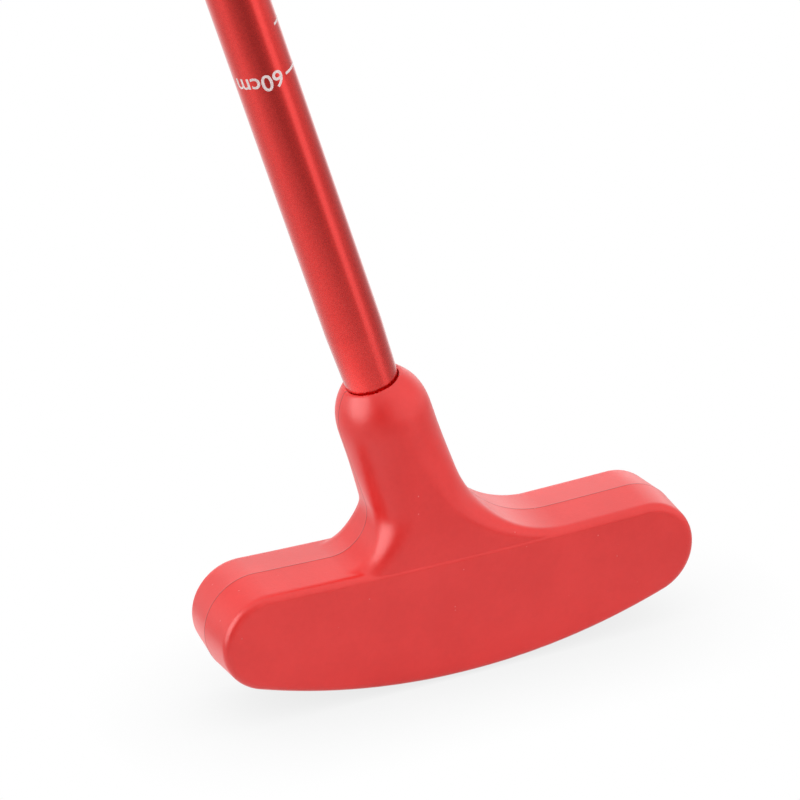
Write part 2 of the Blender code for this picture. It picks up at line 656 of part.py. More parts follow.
def make_lever(upper_frame):
    plastic = material("lever_plastic", (0.04, 0.04, 0.043), 0.4)
    place = (PIN_X, BOLT_Y, BOLT_HEIGHT)
    body = prism(lever_outline(), -LEVER_HEIGHT / 2, LEVER_HEIGHT / 2)
    lever = solid("clamp_lever", body, upper_frame, plastic, place)
    reach = CAM_RADIUS + CAM_THROW + CUT_OVERRUN
    fork_low = (-reach, -LEVER_FORK / 2, -LEVER_FORK / 2)
    fork_high = (reach, reach, LEVER_FORK / 2)
    combine(lever, "DIFFERENCE", helper("lever_fork", block(fork_low, fork_high), upper_frame, place))
    pin_reach = LEVER_HEIGHT / 2 + CUT_OVERRUN
    pin_room = rod(PIN_RADIUS + RUN_GAP, -pin_reach, pin_reach)
    combine(lever, "DIFFERENCE", helper("lever_pin_hole", pin_room, upper_frame, place))


def grip_radius(height):
    """The grip's outside, which swells from its lip to the butt."""
    share = (height - GRIP_BOTTOM) / GRIP_LENGTH
    return GRIP_LIP_RADIUS + (GRIP_BUTT_RADIUS - GRIP_LIP_RADIUS) * share**GRIP_SWELL


def make_grip(upper_frame):
    rubber = material("grip_rubber", (0.022, 0.022, 0.024), 0.75)
    cap_rubber = material("cap_rubber", (0.022, 0.022, 0.024), 0.6)
    tape_finish = material("grip_tape_paper", (0.62, 0.60, 0.52), 0.8)
    bottom = GRIP_BOTTOM
    outside = [(GRIP_LIP_RADIUS - GRIP_LIP_EDGE, bottom), (GRIP_LIP_RADIUS, bottom + GRIP_LIP_EDGE)]
    for k in range(GRIP_RINGS):
        middle = bottom + GRIP_LIP + k * GRIP_RING_PITCH
        for step, drop in ((-0.5, 0), (-0.25, 1), (0.25, 1), (0.5, 0)):
            height = middle + step * GRIP_RING_WIDTH
            outside.append((grip_radius(height) - drop * GRIP_RING_DEPTH, height))
    rings_top = outside[-1][1]
    for k in range(1, SWELL_STEPS + 1):
        height = rings_top + (UPPER_TOP - rings_top) * k / SWELL_STEPS
        outside.append((grip_radius(height), height))
    profile = outside + [(GRIP_BORE, UPPER_TOP), (GRIP_BORE, bottom)]
    solid("grip", turned(profile, wrap=True), upper_frame, rubber)

    tape = sleeve(TAPE_BORE, TAPE_BORE + TAPE_THICKNESS, bottom + TAPE_INSET, UPPER_TOP - TAPE_INSET)
    solid("grip_tape", tape, upper_frame, tape_finish)

    under = UPPER_TOP + REST_GAP
    plug_radius = UPPER_BORE - REST_GAP
    plug_bottom = UPPER_LENGTH - CAP_THICKNESS - CAP_PLUG
    cap = [(VENT_RADIUS, plug_bottom), (plug_radius, plug_bottom), (plug_radius, under)]
    cap += [(GRIP_BUTT_RADIUS, under)]
    corner = (GRIP_BUTT_RADIUS - CAP_EDGE, UPPER_LENGTH - CAP_EDGE)
    cap += arc(corner, CAP_EDGE, 0, math.pi / 2, CORNER_STEPS)
    cap += [(VENT_RADIUS, UPPER_LENGTH)]
    solid("butt_cap", turned(cap, wrap=True), upper_frame, cap_rubber)


def build():
    clear_scene()
    head_frame = empty("head_frame", HEAD_CENTRE)
    shaft_line = empty("shaft_line", GROUND_POINT, lean=-SHAFT_LEAN)
    lower_frame = empty("lower_frame", (0, 0, 0), shaft_line)
    upper_frame = empty("upper_frame", (0, 0, CLAMP_EDGE), shaft_line)
    make_head(head_frame, lower_frame)
    make_lower_shaft(lower_frame)
    make_upper_shaft(upper_frame)
    make_clamp(upper_frame)
    make_lever(upper_frame)
    make_grip(upper_frame)


build()
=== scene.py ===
import math

import bmesh
import bpy
import numpy as np
from mathutils import Matrix, Vector


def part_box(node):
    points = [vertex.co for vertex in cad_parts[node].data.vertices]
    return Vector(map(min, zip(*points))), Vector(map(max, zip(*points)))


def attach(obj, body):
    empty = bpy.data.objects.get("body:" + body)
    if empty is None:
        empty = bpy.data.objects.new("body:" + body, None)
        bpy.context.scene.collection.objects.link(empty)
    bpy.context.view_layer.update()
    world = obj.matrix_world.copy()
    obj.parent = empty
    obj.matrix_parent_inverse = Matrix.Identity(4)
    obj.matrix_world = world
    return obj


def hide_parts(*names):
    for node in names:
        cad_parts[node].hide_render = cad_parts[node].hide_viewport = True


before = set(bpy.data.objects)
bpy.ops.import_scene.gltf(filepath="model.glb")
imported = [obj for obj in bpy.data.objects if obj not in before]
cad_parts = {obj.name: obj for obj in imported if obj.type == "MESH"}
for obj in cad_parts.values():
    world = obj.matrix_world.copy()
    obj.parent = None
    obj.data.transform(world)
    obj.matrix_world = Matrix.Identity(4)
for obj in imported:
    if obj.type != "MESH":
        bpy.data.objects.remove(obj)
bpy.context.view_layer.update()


# The weight inside the head: a mild steel bar, the post that stands in it to hold the shaft,
# and the pin driven across them both. The rubber is moulded round them and hides them.


class Value:
    """A number or vector that changes from place to place. Sums with it add Math nodes to its tree."""

    def __init__(self, nodes, socket):
        self.nodes = nodes
        self.socket = socket

    def math(self, operation, *others):
        """A Math node on this value and others."""
        return self.nodes.node("ShaderNodeMath", {"operation": operation}, [self, *others])

    def __add__(self, other):
        return self.math("ADD", other)

    def __sub__(self, other):
        return self.math("SUBTRACT", other)

    def __mul__(self, other):
        return self.math("MULTIPLY", other)

    def __truediv__(self, other):
        return self.math("DIVIDE", other)

    def __pow__(self, other):
        return self.math("POWER", other)

    def __abs__(self):
        return self.math("ABSOLUTE")

    def __rsub__(self, other):
        return self.nodes.node("ShaderNodeMath", {"operation": "SUBTRACT"}, [other, self])

    def __rtruediv__(self, other):
        return self.nodes.node("ShaderNodeMath", {"operation": "DIVIDE"}, [other, self])

    __radd__ = __add__
    __rmul__ = __mul__


class Nodes:
    """A tree of nodes under construction."""

    def __init__(self, tree):
        self.tree = tree

    def node(self, kind, settings, inputs, output=0):
        """Adds a node: its settings first, then a value or a link for each socket named or counted."""
        made = self.tree.nodes.new(kind)
        for name, setting in settings.items():
            if name == "stops":
                for number, (place, grey) in enumerate(setting):
                    stops = made.color_ramp.elements
                    stop = stops[number] if number < 2 else stops.new(place)
                    stop.position = place
                    stop.color = (grey, grey, grey, 1)
            else:
                setattr(made, name, setting)
        for key, value in inputs.items() if isinstance(inputs, dict) else enumerate(inputs):
            self.feed(made.inputs[key], value)
        return Value(self, made.outputs[output])

    def feed(self, socket, value):
        """Links a value to a socket, or sets the socket to a plain number or colour."""
        if isinstance(value, Value):
            self.tree.links.new(value.socket, socket)
        else:
            socket.default_value = value

    def ramp(self, value, low, high):
        """0 where the value is at low and 1 where it is at high, smooth between."""
        settings = {"interpolation_type": "SMOOTHSTEP"}
        return self.node("ShaderNodeMapRange", settings, [value, low, high, 0, 1])


class Finish(Nodes):
    """A material whose colour, roughness and surface change from place to place."""

    def __init__(self, name):
        self.material = bpy.data.materials.new(name)
        self.material.use_nodes = True
        super().__init__(self.material.node_tree)
        self.shader = self.tree.nodes["Principled BSDF"]

    def set(self, **sockets):
        """Feeds the shader's sockets, named with underscores for spaces."""
        for name, value in sockets.items():
            self.feed(self.shader.inputs[name.replace("_", " ")], value)
        return self

    def place(self, middle=(0, 0, 0), turn=(0, 0, 0), stretch=(1, 1, 1)):
        """Where a point is on the piece, from a middle, along turned axes, in units of stretch."""
        point = self.node("ShaderNodeTexCoord", {}, {}, "Object")
        settings = {"vector_type": "TEXTURE"}
        return self.node("ShaderNodeMapping", settings, [point, middle, turn, stretch])

    def grain(self, size, where=None, detail=2.0, rough=0.5):
        """Noise about 0.5, with blots of a size in metres."""
        where = where or self.place()
        inputs = {"Vector": where, "Scale": 1 / size, "Detail": detail, "Roughness": rough}
        return self.node("ShaderNodeTexNoise", {}, inputs)

    def mix(self, share, first, second):
        """A colour between two colours."""
        return self.node("ShaderNodeMix", {"data_type": "RGBA"}, {0: share, 6: first, 7: second}, 2)

    def bump(self, height, depth):
        """The surface's lean from a height of 0 to 1 over a depth in metres."""
        return self.node("ShaderNodeBump", {}, {"Height": height, "Distance": depth})


def paint(red, green, blue):
    """A colour from its screen values out of 255."""
    linear = []
    for value in (red, green, blue):
        share = value / 255
        linear.append(share / 12.92 if share <= 0.04045 else ((share + 0.055) / 1.055) ** 2.4)
    return (*linear, 1)


def metal(name, tint, shade, roughness, stretch, turn=(0, 0, 0)):
    """Bare metal, with the fine marks of its making drawn out along its axes by stretch."""
    finish = Finish(name)
    marks = finish.grain(0.0003, finish.place(turn=turn, stretch=stretch), detail=3)
    cloud = finish.grain(0.006, detail=3)
    colour = finish.mix(finish.ramp(cloud + marks * 0.5, 0.5, 1.0), shade, tint)
    rough = roughness - 0.08 + marks * 0.16
    return finish.set(
        Base_Color=colour, Metallic=1.0, Roughness=rough, Normal=finish.bump(marks, 0.00001)
    )


def dress(node, finish):
    """Gives a node of the frame its finish."""
    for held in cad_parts[node].material_slots:
        held.material = finish.material


core_steel = metal("drawn mild steel", paint(176, 178, 182), paint(146, 148, 152), 0.42, (12, 1, 1))
for node in ("weight_bar", "hosel_post", "core_pin"):
    dress(node, core_steel)


# The head: one moulding of red rubber with a striking face at the front and the back. The neck
# stands on it along the shaft, and the mould parts down the middle, which leaves a fine line.
LEAN = math.radians(15.35)
HANDS_TO_GROUND = 0.6297
SHAFT_GROUND_X = 0.00415
SHAFT = Matrix.Rotation(-LEAN, 4, "Y") @ Matrix.Translation((0, 0, -HANDS_TO_GROUND))
GROUND = SHAFT.translation
HEAD = Matrix.Translation(GROUND - Vector((SHAFT_GROUND_X, 0, 0)))
HEAD_LENGTH = 0.1091
HEAD_HALF = 0.01045
HEAD_HEIGHT = 0.02965
TOP_HOLLOW = 1.430
SOLE_ROUND = 0.1423
FACE_EDGE = 0.0017
DRAFT = 0.0006
NECK_RADIUS = 0.0100
NECK_RIM = 0.0706
DOME_FROM = 0.0600
DOME_FALL = 0.0037
DOME_POWER = 2.8
HEEL_FILLET = 0.0087
TOE_FILLET = 0.0225
NECK_SET_IN = 0.00017
NECK_CORNER = 0.0048
HEEL_CORNER = 0.0034
CORNER_FROM, CORNER_TO = 0.028, 0.058
NECK_BLEND = 0.0012
NECK_SPREAD = 0.030
PARTING_RIDGE = 0.00003
PARTING_WIDTH = 0.00012
FACE_BLEND_FROM, FACE_BLEND_TO = 0.0014, 0.0003
MOULD_STEP = 0.00055
FACE_BAND_FROM, FACE_BAND_TO = 0.0030, 0.0026
LIP_FROM, LIP_TO, LIP_STEP = 0.0272, 0.0290, 0.00013
CORE_ROOM = 0.0003
POST_BOTTOM = 0.01244
POST_HOLE = 0.0052
TUBE_FOOT = 0.032976
FOOT_RADIUS = 0.0056
HOSEL_BORE = 0.00564
MOUTH_DEPTH = 0.0005
MOUTH_LOOSE = 0.0006
MOUTH_SIDE = math.radians(-88)
MOUTH_TORN = math.radians(-110)
CUT_OVER = 0.0002


def eased(value, start, end):
    """0 before start and 1 after end, smooth between."""
    share = np.clip((value - start) / (end - start), 0, 1)
    return share * share * (3 - 2 * share)


def rounded(side, across, radius):
    """The field of two walls that meet in a round edge. A field is negative inside a shape."""
    a = side + radius
    b = across + radius
    return np.hypot(np.maximum(a, 0), np.maximum(b, 0)) + np.minimum(np.maximum(a, b), 0) - radius


def joined(a, b, soft):
    """The field of two shapes run together over a soft width."""
    share = np.maximum(soft - np.abs(a - b), 0) / soft
    return np.minimum(a, b) - share * share * soft / 4


def end_circle():
    """The head's round end, which touches its hollow top and its sole: its radius and its middle."""
    low, high = 0.0, HEAD_HEIGHT / 2
    for _ in range(40):
        radius = (low + high) / 2
        x = HEAD_LENGTH / 2 - radius
        z = HEAD_HEIGHT + TOP_HOLLOW - math.sqrt((TOP_HOLLOW + radius) ** 2 - x**2)
        if z > SOLE_ROUND - math.sqrt((SOLE_ROUND - radius) ** 2 - x**2):
            low = radius
        else:
            high = radius
    return radius, x, z


end_radius, end_x, end_z = end_circle()


def head_outline(x, z):
    """The block's outline in the parting plane, and its hollow top alone."""
    x = np.abs(x)
    top = TOP_HOLLOW - np.hypot(x, z - HEAD_HEIGHT - TOP_HOLLOW)
    sole = np.hypot(x, z - SOLE_ROUND) - SOLE_ROUND
    end = np.hypot(x - end_x, z - end_z) - end_radius
    up = np.array([-end_x, HEAD_HEIGHT + TOP_HOLLOW - end_z])
    up /= np.hypot(*up)
    down = np.array([end_x, end_z - SOLE_ROUND])
    down /= np.hypot(*down)
    past_top = (x - end_x) * up[1] - (z - end_z) * up[0] > 0
    past_sole = (z - end_z) * down[0] - (x - end_x) * down[1] > 0
    return np.where(past_top & past_sole, end, np.maximum(top, sole)), top


def fillet_centre(side, radius):
    """The circle that touches the neck's side and the block's top: side is -1 for the heel."""
    x = SHAFT_GROUND_X + side * math.cos(LEAN) * (NECK_RADIUS + radius)
    z = side * math.sin(LEAN) * (NECK_RADIUS + radius) - HEAD_HEIGHT - TOP_HOLLOW
    b = z * math.cos(LEAN) - x * math.sin(LEAN)
    c = x * x + z * z - (TOP_HOLLOW - radius) ** 2
    t = -b - math.sqrt(b * b - c)
    return x - math.sin(LEAN) * t, z + math.cos(LEAN) * t + HEAD_HEIGHT + TOP_HOLLOW


def head_field(points):
    """The head: a block with rounded ends, and a neck that runs into its top with wide fillets."""
    x, y, z = points[..., 0], points[..., 1], points[..., 2]
    depth = np.abs(y)
    ridge = PARTING_RIDGE * np.exp(-((y / PARTING_WIDTH) ** 2))
    draft = DRAFT * np.minimum(depth / (HEAD_HALF - FACE_EDGE), 1) - ridge
    side, top = head_outline(x, z)
    block = rounded(side + draft, depth - HEAD_HALF, FACE_EDGE)
    rise = z * math.cos(LEAN) - (x - SHAFT_GROUND_X) * math.sin(LEAN)
    offset = (x - SHAFT_GROUND_X) * math.cos(LEAN) + z * math.sin(LEAN)
    stem = np.minimum(np.abs(offset) - NECK_RADIUS - ridge, top + draft)
    roundness = eased(rise, CORNER_FROM, CORNER_TO)
    corner = NECK_CORNER + (NECK_RADIUS - NECK_CORNER) * roundness
    for way, radius, foot_corner in ((-1, HEEL_FILLET, HEEL_CORNER), (1, TOE_FILLET, FACE_EDGE)):
        centre_x, centre_z = fillet_centre(way, radius)
        dx = x - centre_x
        dz = z - centre_z
        reach = np.hypot(dx, dz)
        down = dx * math.sin(LEAN) - dz * math.cos(LEAN)
        turned_down = np.clip(down / np.maximum(reach, 1e-6) / math.cos(LEAN), 0, 1)
        inside = (down > 0) & (way * dx < 0) & (way * offset > 0)
        fillet = radius - reach + (draft + ridge) * turned_down - ridge
        stem = np.where(inside, fillet, stem)
        narrowed = eased(np.where(inside, turned_down, 0), 0.2, 1)
        corner = corner + (foot_corner - corner) * narrowed
    reach = HEAD_HALF - NECK_SET_IN - (HEAD_HALF - NECK_SET_IN - NECK_RADIUS) * roundness
    neck = rounded(stem, depth - reach, corner)
    above = np.maximum(rise - DOME_FROM, 0) / (NECK_RIM - DOME_FROM)
    dome = np.hypot(offset, y) - NECK_RADIUS + DOME_FALL * above**DOME_POWER - ridge
    neck = np.where(above > 0, np.maximum(neck, dome), neck)
    neck = np.maximum(neck, np.hypot(offset, y) - NECK_SPREAD)
    neck = np.maximum(neck, np.maximum(rise - NECK_RIM, HEAD_HEIGHT / 2 - z))
    near_face = eased(depth, HEAD_HALF - FACE_BLEND_FROM, HEAD_HALF - FACE_BLEND_TO)
    soft = NECK_BLEND * np.clip((top - stem) / 0.001, 0, 1) * (1 - 0.97 * near_face)
    return joined(block, neck, np.maximum(soft, 1e-6))


def moulded(field, xs, ys, zs):
    """A field's zero surface as a mesh: a point in each crossed cell of a grid, moved onto it."""
    grid = np.stack(np.meshgrid(xs, ys, zs, indexing="ij"), -1)
    value = field(grid)
    inside = value < 0
    cells = tuple(n - 1 for n in value.shape)
    count = np.zeros(cells, int)
    total = np.zeros(cells + (3,))

    def part(array, axis, cut, others=None):
        index = [slice(None)] * 3
        index[axis] = cut
        for k, start in others or ():
            index[k] = slice(start, value.shape[k] - 1 + start)
        return array[tuple(index)]

    for axis in range(3):
        first, second = part(value, axis, slice(None, -1)), part(value, axis, slice(1, None))
        crossed = (first < 0) != (second < 0)
        share = np.where(crossed, first / np.where(crossed, first - second, 1), 0)[..., None]
        ends = part(grid, axis, slice(None, -1)), part(grid, axis, slice(1, None))
        spot = ends[0] * (1 - share) + ends[1] * share
        j, k = [other for other in range(3) if other != axis]
        for a in (0, 1):
            for b in (0, 1):
                hit = part(crossed, axis, slice(None), ((j, a), (k, b)))
                count += hit
                total += part(spot, axis, slice(None), ((j, a), (k, b))) * hit[..., None]
    held = count > 0
    number = np.full(cells, -1)
    number[held] = np.arange(held.sum())
    points = total[held] / count[held][:, None]
    faces = []
    for axis in range(3):
        inner = [slice(1, -1)] * 3
        inner[axis] = slice(None, -1)
        first = inside[tuple(inner)]
        inner[axis] = slice(1, None)
        second = inside[tuple(inner)]
        j, k = (axis + 1) % 3, (axis + 2) % 3
        quad = []
        for a, b in ((0, 0), (1, 0), (1, 1), (0, 1)):
            cut = [slice(None)] * 3
            cut[j] = slice(a, cells[j] - 1 + a)
            cut[k] = slice(b, cells[k] - 1 + b)
            quad.append(number[tuple(cut)])
        quad = np.stack(quad, -1)
        faces.append(quad[first & ~second])
        faces.append(quad[second & ~first][:, ::-1])
    small = 1e-6
    for _ in range(4):
        ahead = [field(points + small * way) - field(points - small * way) for way in np.eye(3)]
        slope = np.stack(ahead, -1) / (2 * small)
        points = points - slope * (field(points) / np.maximum((slope**2).sum(-1), 0.25))[:, None]
    mesh = bpy.data.meshes.new("moulding")
    mesh.from_pydata(points.tolist(), [], np.concatenate(faces).tolist())
    return mesh


def as_mesh(bm, place=Matrix()):
    """A built shape as a mesh in its place, with its faces turned outwards."""
    bmesh.ops.recalc_face_normals(bm, faces=bm.faces)
    mesh = bpy.data.meshes.new("shape")
    bm.to_mesh(mesh)
    bm.free()
    mesh.transform(place)
    return mesh


def skinned(rings, wrap=False):
    """A closed skin over rings of points. One point is a pole. Wrap joins the last ring to the first."""
    bm = bmesh.new()
    loops = [[bm.verts.new(point) for point in ring] for ring in rings]
    pairs = list(zip(loops, loops[1:]))
    if wrap:
        pairs.append((loops[-1], loops[0]))
    for below, above in pairs:
        count = max(len(below), len(above))
        for i in range(count):
            j = (i + 1) % count
            if len(below) == 1:
                bm.faces.new((below[0], above[j], above[i]))
            elif len(above) == 1:
                bm.faces.new((below[i], below[j], above[0]))
            else:
                bm.faces.new((below[i], below[j], above[j], above[i]))
    if not wrap:
        for end in (loops[0], loops[-1]):
            if len(end) > 1:
                bm.faces.new(end)
    return bm


def turned(profile, sides=96, wrap=False, reach=None):
    """A shape turned about Z from (radius, height) points. Reach may change a radius by its angle."""
    angles = [2 * math.pi * k / sides for k in range(sides)]
    rings = []
    for radius, height in profile:
        if radius == 0:
            rings.append([(0, 0, height)])
            continue
        around = [reach(radius, angle) if reach else radius for angle in angles]
        rings.append([(r * math.cos(a), r * math.sin(a), height) for r, a in zip(around, angles)])
    return skinned(rings, wrap)


def slab(low, high, place=Matrix()):
    """A plain box between two corners, which only cuts other shapes."""
    bm = bmesh.new()
    bmesh.ops.create_cube(bm, size=1)
    size = Vector(high) - Vector(low)
    middle = (Vector(high) + Vector(low)) / 2
    bm.transform(Matrix.Translation(middle) @ Matrix.Diagonal((*size, 1)))
    return as_mesh(bm, place)


def placed(name, data):
    """An object in the scene for a mesh, a text, a light or a camera."""
    made = bpy.data.objects.new(name, data)
    bpy.context.scene.collection.objects.link(made)
    return made


def finished_mesh(*helpers):
    """The first helper's mesh with its modifiers applied. The helpers are then removed."""
    graph = bpy.context.evaluated_depsgraph_get()
    done = bpy.data.meshes.new_from_object(helpers[0].evaluated_get(graph))
    for helper in helpers:
        bpy.data.objects.remove(helper)
    return done


def carved(body, *cutters):
    """The body's mesh with the cutters' meshes taken out of it."""
    whole = placed("whole", body)
    tools = [placed("cutter", cutter) for cutter in cutters]
    for tool in tools:
        change = whole.modifiers.new("cut", "BOOLEAN")
        change.object = tool
        change.solver = "EXACT"
    return finished_mesh(whole, *tools)


def piece(name, mesh, finish, body, nodes=(), sharp=35):
    """A finished piece, its place in its mesh: it rides on a body and stands for nodes of the frame."""
    mesh.name = name
    mesh.materials.clear()
    mesh.materials.append(finish.material)
    mesh.shade_smooth()
    mesh.set_sharp_from_angle(angle=math.radians(sharp))
    made = placed(name, mesh)
    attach(made, body)
    if nodes:
        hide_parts(*nodes)
    return made


near_line = [0.00004, 0.00012, 0.00022, 0.0004, 0.0008]
across = np.arange(0.0013, HEAD_HALF - FACE_BAND_FROM, MOULD_STEP * 1.2)
near_face = np.arange(HEAD_HALF - FACE_BAND_TO, HEAD_HALF + 0.001, MOULD_STEP * 0.8)
half_ys = np.concatenate([near_line, across, near_face])
low_zs = np.arange(-0.001, LIP_FROM - LIP_STEP, MOULD_STEP)
lip_zs = np.arange(LIP_FROM, LIP_TO, LIP_STEP)
high_zs = np.arange(LIP_TO + LIP_STEP, NECK_RIM + 0.002, MOULD_STEP)
head_mesh = moulded(
    head_field,
    np.arange(-HEAD_LENGTH / 2 - 0.001, HEAD_LENGTH / 2 + 0.002, MOULD_STEP),
    np.concatenate([-half_ys[::-1], half_ys]),
    np.concatenate([low_zs, lip_zs, high_zs]),
)
head_mesh.transform(HEAD)


def mouth_reach(radius, angle):
    """The neck's mouth: tight to the heel and loose to the toe, with torn flash along its front."""
    loose = MOUTH_LOOSE * max(0, math.cos(angle - MOUTH_SIDE))
    torn = max(0, math.cos(angle - MOUTH_TORN)) ** 8
    rag = 0.00006 * torn * (math.sin(29 * angle) + math.sin(47 * angle + 1) + math.sin(83 * angle))
    return radius + max(0, loose - rag)


bar_low, bar_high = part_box("weight_bar")
core_space = slab([v - CORE_ROOM for v in bar_low], [v + CORE_ROOM for v in bar_high])
post_space = [(0, POST_BOTTOM), (POST_HOLE, POST_BOTTOM), (POST_HOLE, TUBE_FOOT), (0, TUBE_FOOT)]
MOUTH_FLOOR = NECK_RIM - MOUTH_DEPTH
bore = [(0, TUBE_FOOT - CORE_ROOM), (HOSEL_BORE, TUBE_FOOT - CORE_ROOM)]
bore += [(HOSEL_BORE, MOUTH_FLOOR), (0, MOUTH_FLOOR)]
mouth = [(0, MOUTH_FLOOR - CUT_OVER), (HOSEL_BORE, MOUTH_FLOOR - CUT_OVER)]
mouth += [(HOSEL_BORE, NECK_RIM + 0.001), (0, NECK_RIM + 0.001)]
head_mesh = carved(
    head_mesh,
    core_space,
    as_mesh(turned(post_space), SHAFT),
    as_mesh(turned(bore), SHAFT),
    as_mesh(turned(mouth, 192, reach=mouth_reach), SHAFT),
)

rubber = Finish("moulded red rubber")
on_head = rubber.place(middle=HEAD.translation)
SPECKS_PER_METRE = 420.0
slow = rubber.grain(0.014, on_head, detail=3)
mottle = rubber.grain(0.0011, on_head, detail=3, rough=0.6)
pores = rubber.grain(0.00022, on_head, detail=2)
red = rubber.mix(rubber.ramp(slow + mottle * 0.35, 0.45, 0.9), paint(212, 36, 33), paint(220, 43, 40))
cells = {"Vector": on_head, "Scale": SPECKS_PER_METRE}
speck_reach = rubber.node("ShaderNodeTexVoronoi", {}, cells)
speck_luck = rubber.node("ShaderNodeTexVoronoi", {}, cells, "Color")
speck_luck = rubber.node("ShaderNodeSeparateColor", {}, [speck_luck])
specks = rubber.ramp(speck_reach, 0.10, 0.03) * rubber.ramp(speck_luck, 0.78, 0.84)
scuff_place = rubber.place(middle=HEAD.translation, turn=(0, 0.35, 0), stretch=(9, 4, 1))
scuffs = rubber.ramp(rubber.grain(0.00016, scuff_place, detail=4), 0.66, 0.78)
scuffs = scuffs * rubber.ramp(rubber.grain(0.007, on_head, detail=2), 0.55, 0.72)
red = rubber.mix(specks * 0.3 + scuffs * 0.2, red, paint(238, 150, 146))
# Painted shade: a darker red painted along the parting line, broken by noise, for the shade beside its
# fine flash ridge.
across_line = abs(rubber.node("ShaderNodeSeparateXYZ", {}, [on_head], "Y"))
line = rubber.ramp(across_line, 0.00020, 0.00006) * rubber.ramp(slow, 0.15, 0.35)
red = rubber.mix(line * 0.8, red, paint(140, 10, 10))
rubber.set(
    Base_Color=red,
    Roughness=0.27 + mottle * 0.10 + specks * 0.1,
    Normal=rubber.bump(pores * 0.6 + mottle * 0.4 + specks * 2, 0.00003),
)
piece("rubber_head_moulding", head_mesh, rubber, "head", ["rubber_head"], 50)


# The lower tube: red anodised aluminium with a satin skin. Its scale is printed in silver ink
# and gives the club's length at the clamp's lower edge, in centimetres.
LOWER_RADIUS = 0.0060
LOWER_BORE = 0.0052
LOWER_TOP = 0.5672
TAPER_TOP = NECK_RIM + 0.0124
TUBE_EDGE = 0.0003
TAPER_SOFT = 0.03


def softened(points, radius, closed=True, steps=3):
    """An outline with its corners rounded off. A point's third number is a radius of its own."""
    done = []
    for i, point in enumerate(points):
        here = Vector(point[:2])
        size = point[2] if len(point) > 2 else radius
        if not size or (not closed and i in (0, len(points) - 1)):
            done.append(tuple(here))
            continue
        back = Vector(points[i - 1][:2]) - here
        ahead = Vector(points[(i + 1) % len(points)][:2]) - here
        reach = min(size / math.tan(back.angle(ahead) / 2), 0.49 * back.length, 0.49 * ahead.length)
        start = here + back.normalized() * reach
        end = here + ahead.normalized() * reach
        for k in range(steps + 1):
            t = k / steps
            done.append(tuple(start * (1 - t) ** 2 + here * 2 * t * (1 - t) + end * t * t))
    return done


anodised = Finish("red anodised aluminium")
SHAFT_TURN = (0, -LEAN, 0)
on_shaft = anodised.place(middle=GROUND, turn=SHAFT_TURN)
satin = anodised.grain(0.0006, on_shaft, detail=3, rough=0.55)
drawn = anodised.grain(0.0008, anodised.place(GROUND, SHAFT_TURN, (1, 1, 40)), detail=2)
patches = anodised.grain(0.009, on_shaft, detail=3)
dye = anodised.mix(
    anodised.ramp(patches * 0.25 + drawn * 0.15 + satin * 0.6, 0.2, 0.8),
    paint(222, 40, 36),
    paint(238, 54, 48),
)
anodised.set(
    Base_Color=dye,
    Metallic=1.0,
    Roughness=0.22 + satin * 0.08 + drawn * 0.03,
    Coat_Weight=0.85,
    Coat_Roughness=0.14,
    Normal=anodised.bump(satin * 0.85 + drawn * 0.15, 0.0000018),
)
lower = [(LOWER_BORE, TUBE_FOOT, TUBE_EDGE / 2), (LOWER_BORE, LOWER_TOP), (LOWER_RADIUS, LOWER_TOP)]
lower += [(LOWER_RADIUS, TAPER_TOP, TAPER_SOFT), (FOOT_RADIUS, NECK_RIM, TAPER_SOFT)]
lower += [(FOOT_RADIUS, TUBE_FOOT, TUBE_EDGE / 2)]
lower_tube = as_mesh(turned(softened(lower, TUBE_EDGE), 128, wrap=True), SHAFT)
piece("lower_tube_anodised", lower_tube, anodised, "head", ["lower_tube"])

SCALE_FIRST, SCALE_LAST, SCALE_LABELS = 60, 90, 5
SCALE_PITCH = 0.010
SCALE_START = 0.1431
TICK_THICK = 0.00055
TICK_FROM = math.radians(42.5)
LONG_TICK_FROM = math.radians(27.4)
TICK_TO = math.radians(92)
INK = 0.000012
LABEL_FROM = math.radians(18.5)
LABEL_WIDTH = 0.0102
LABEL_HEIGHT = 0.0035
LABEL_WEIGHT = 0.012
LABEL_CUTS = 32


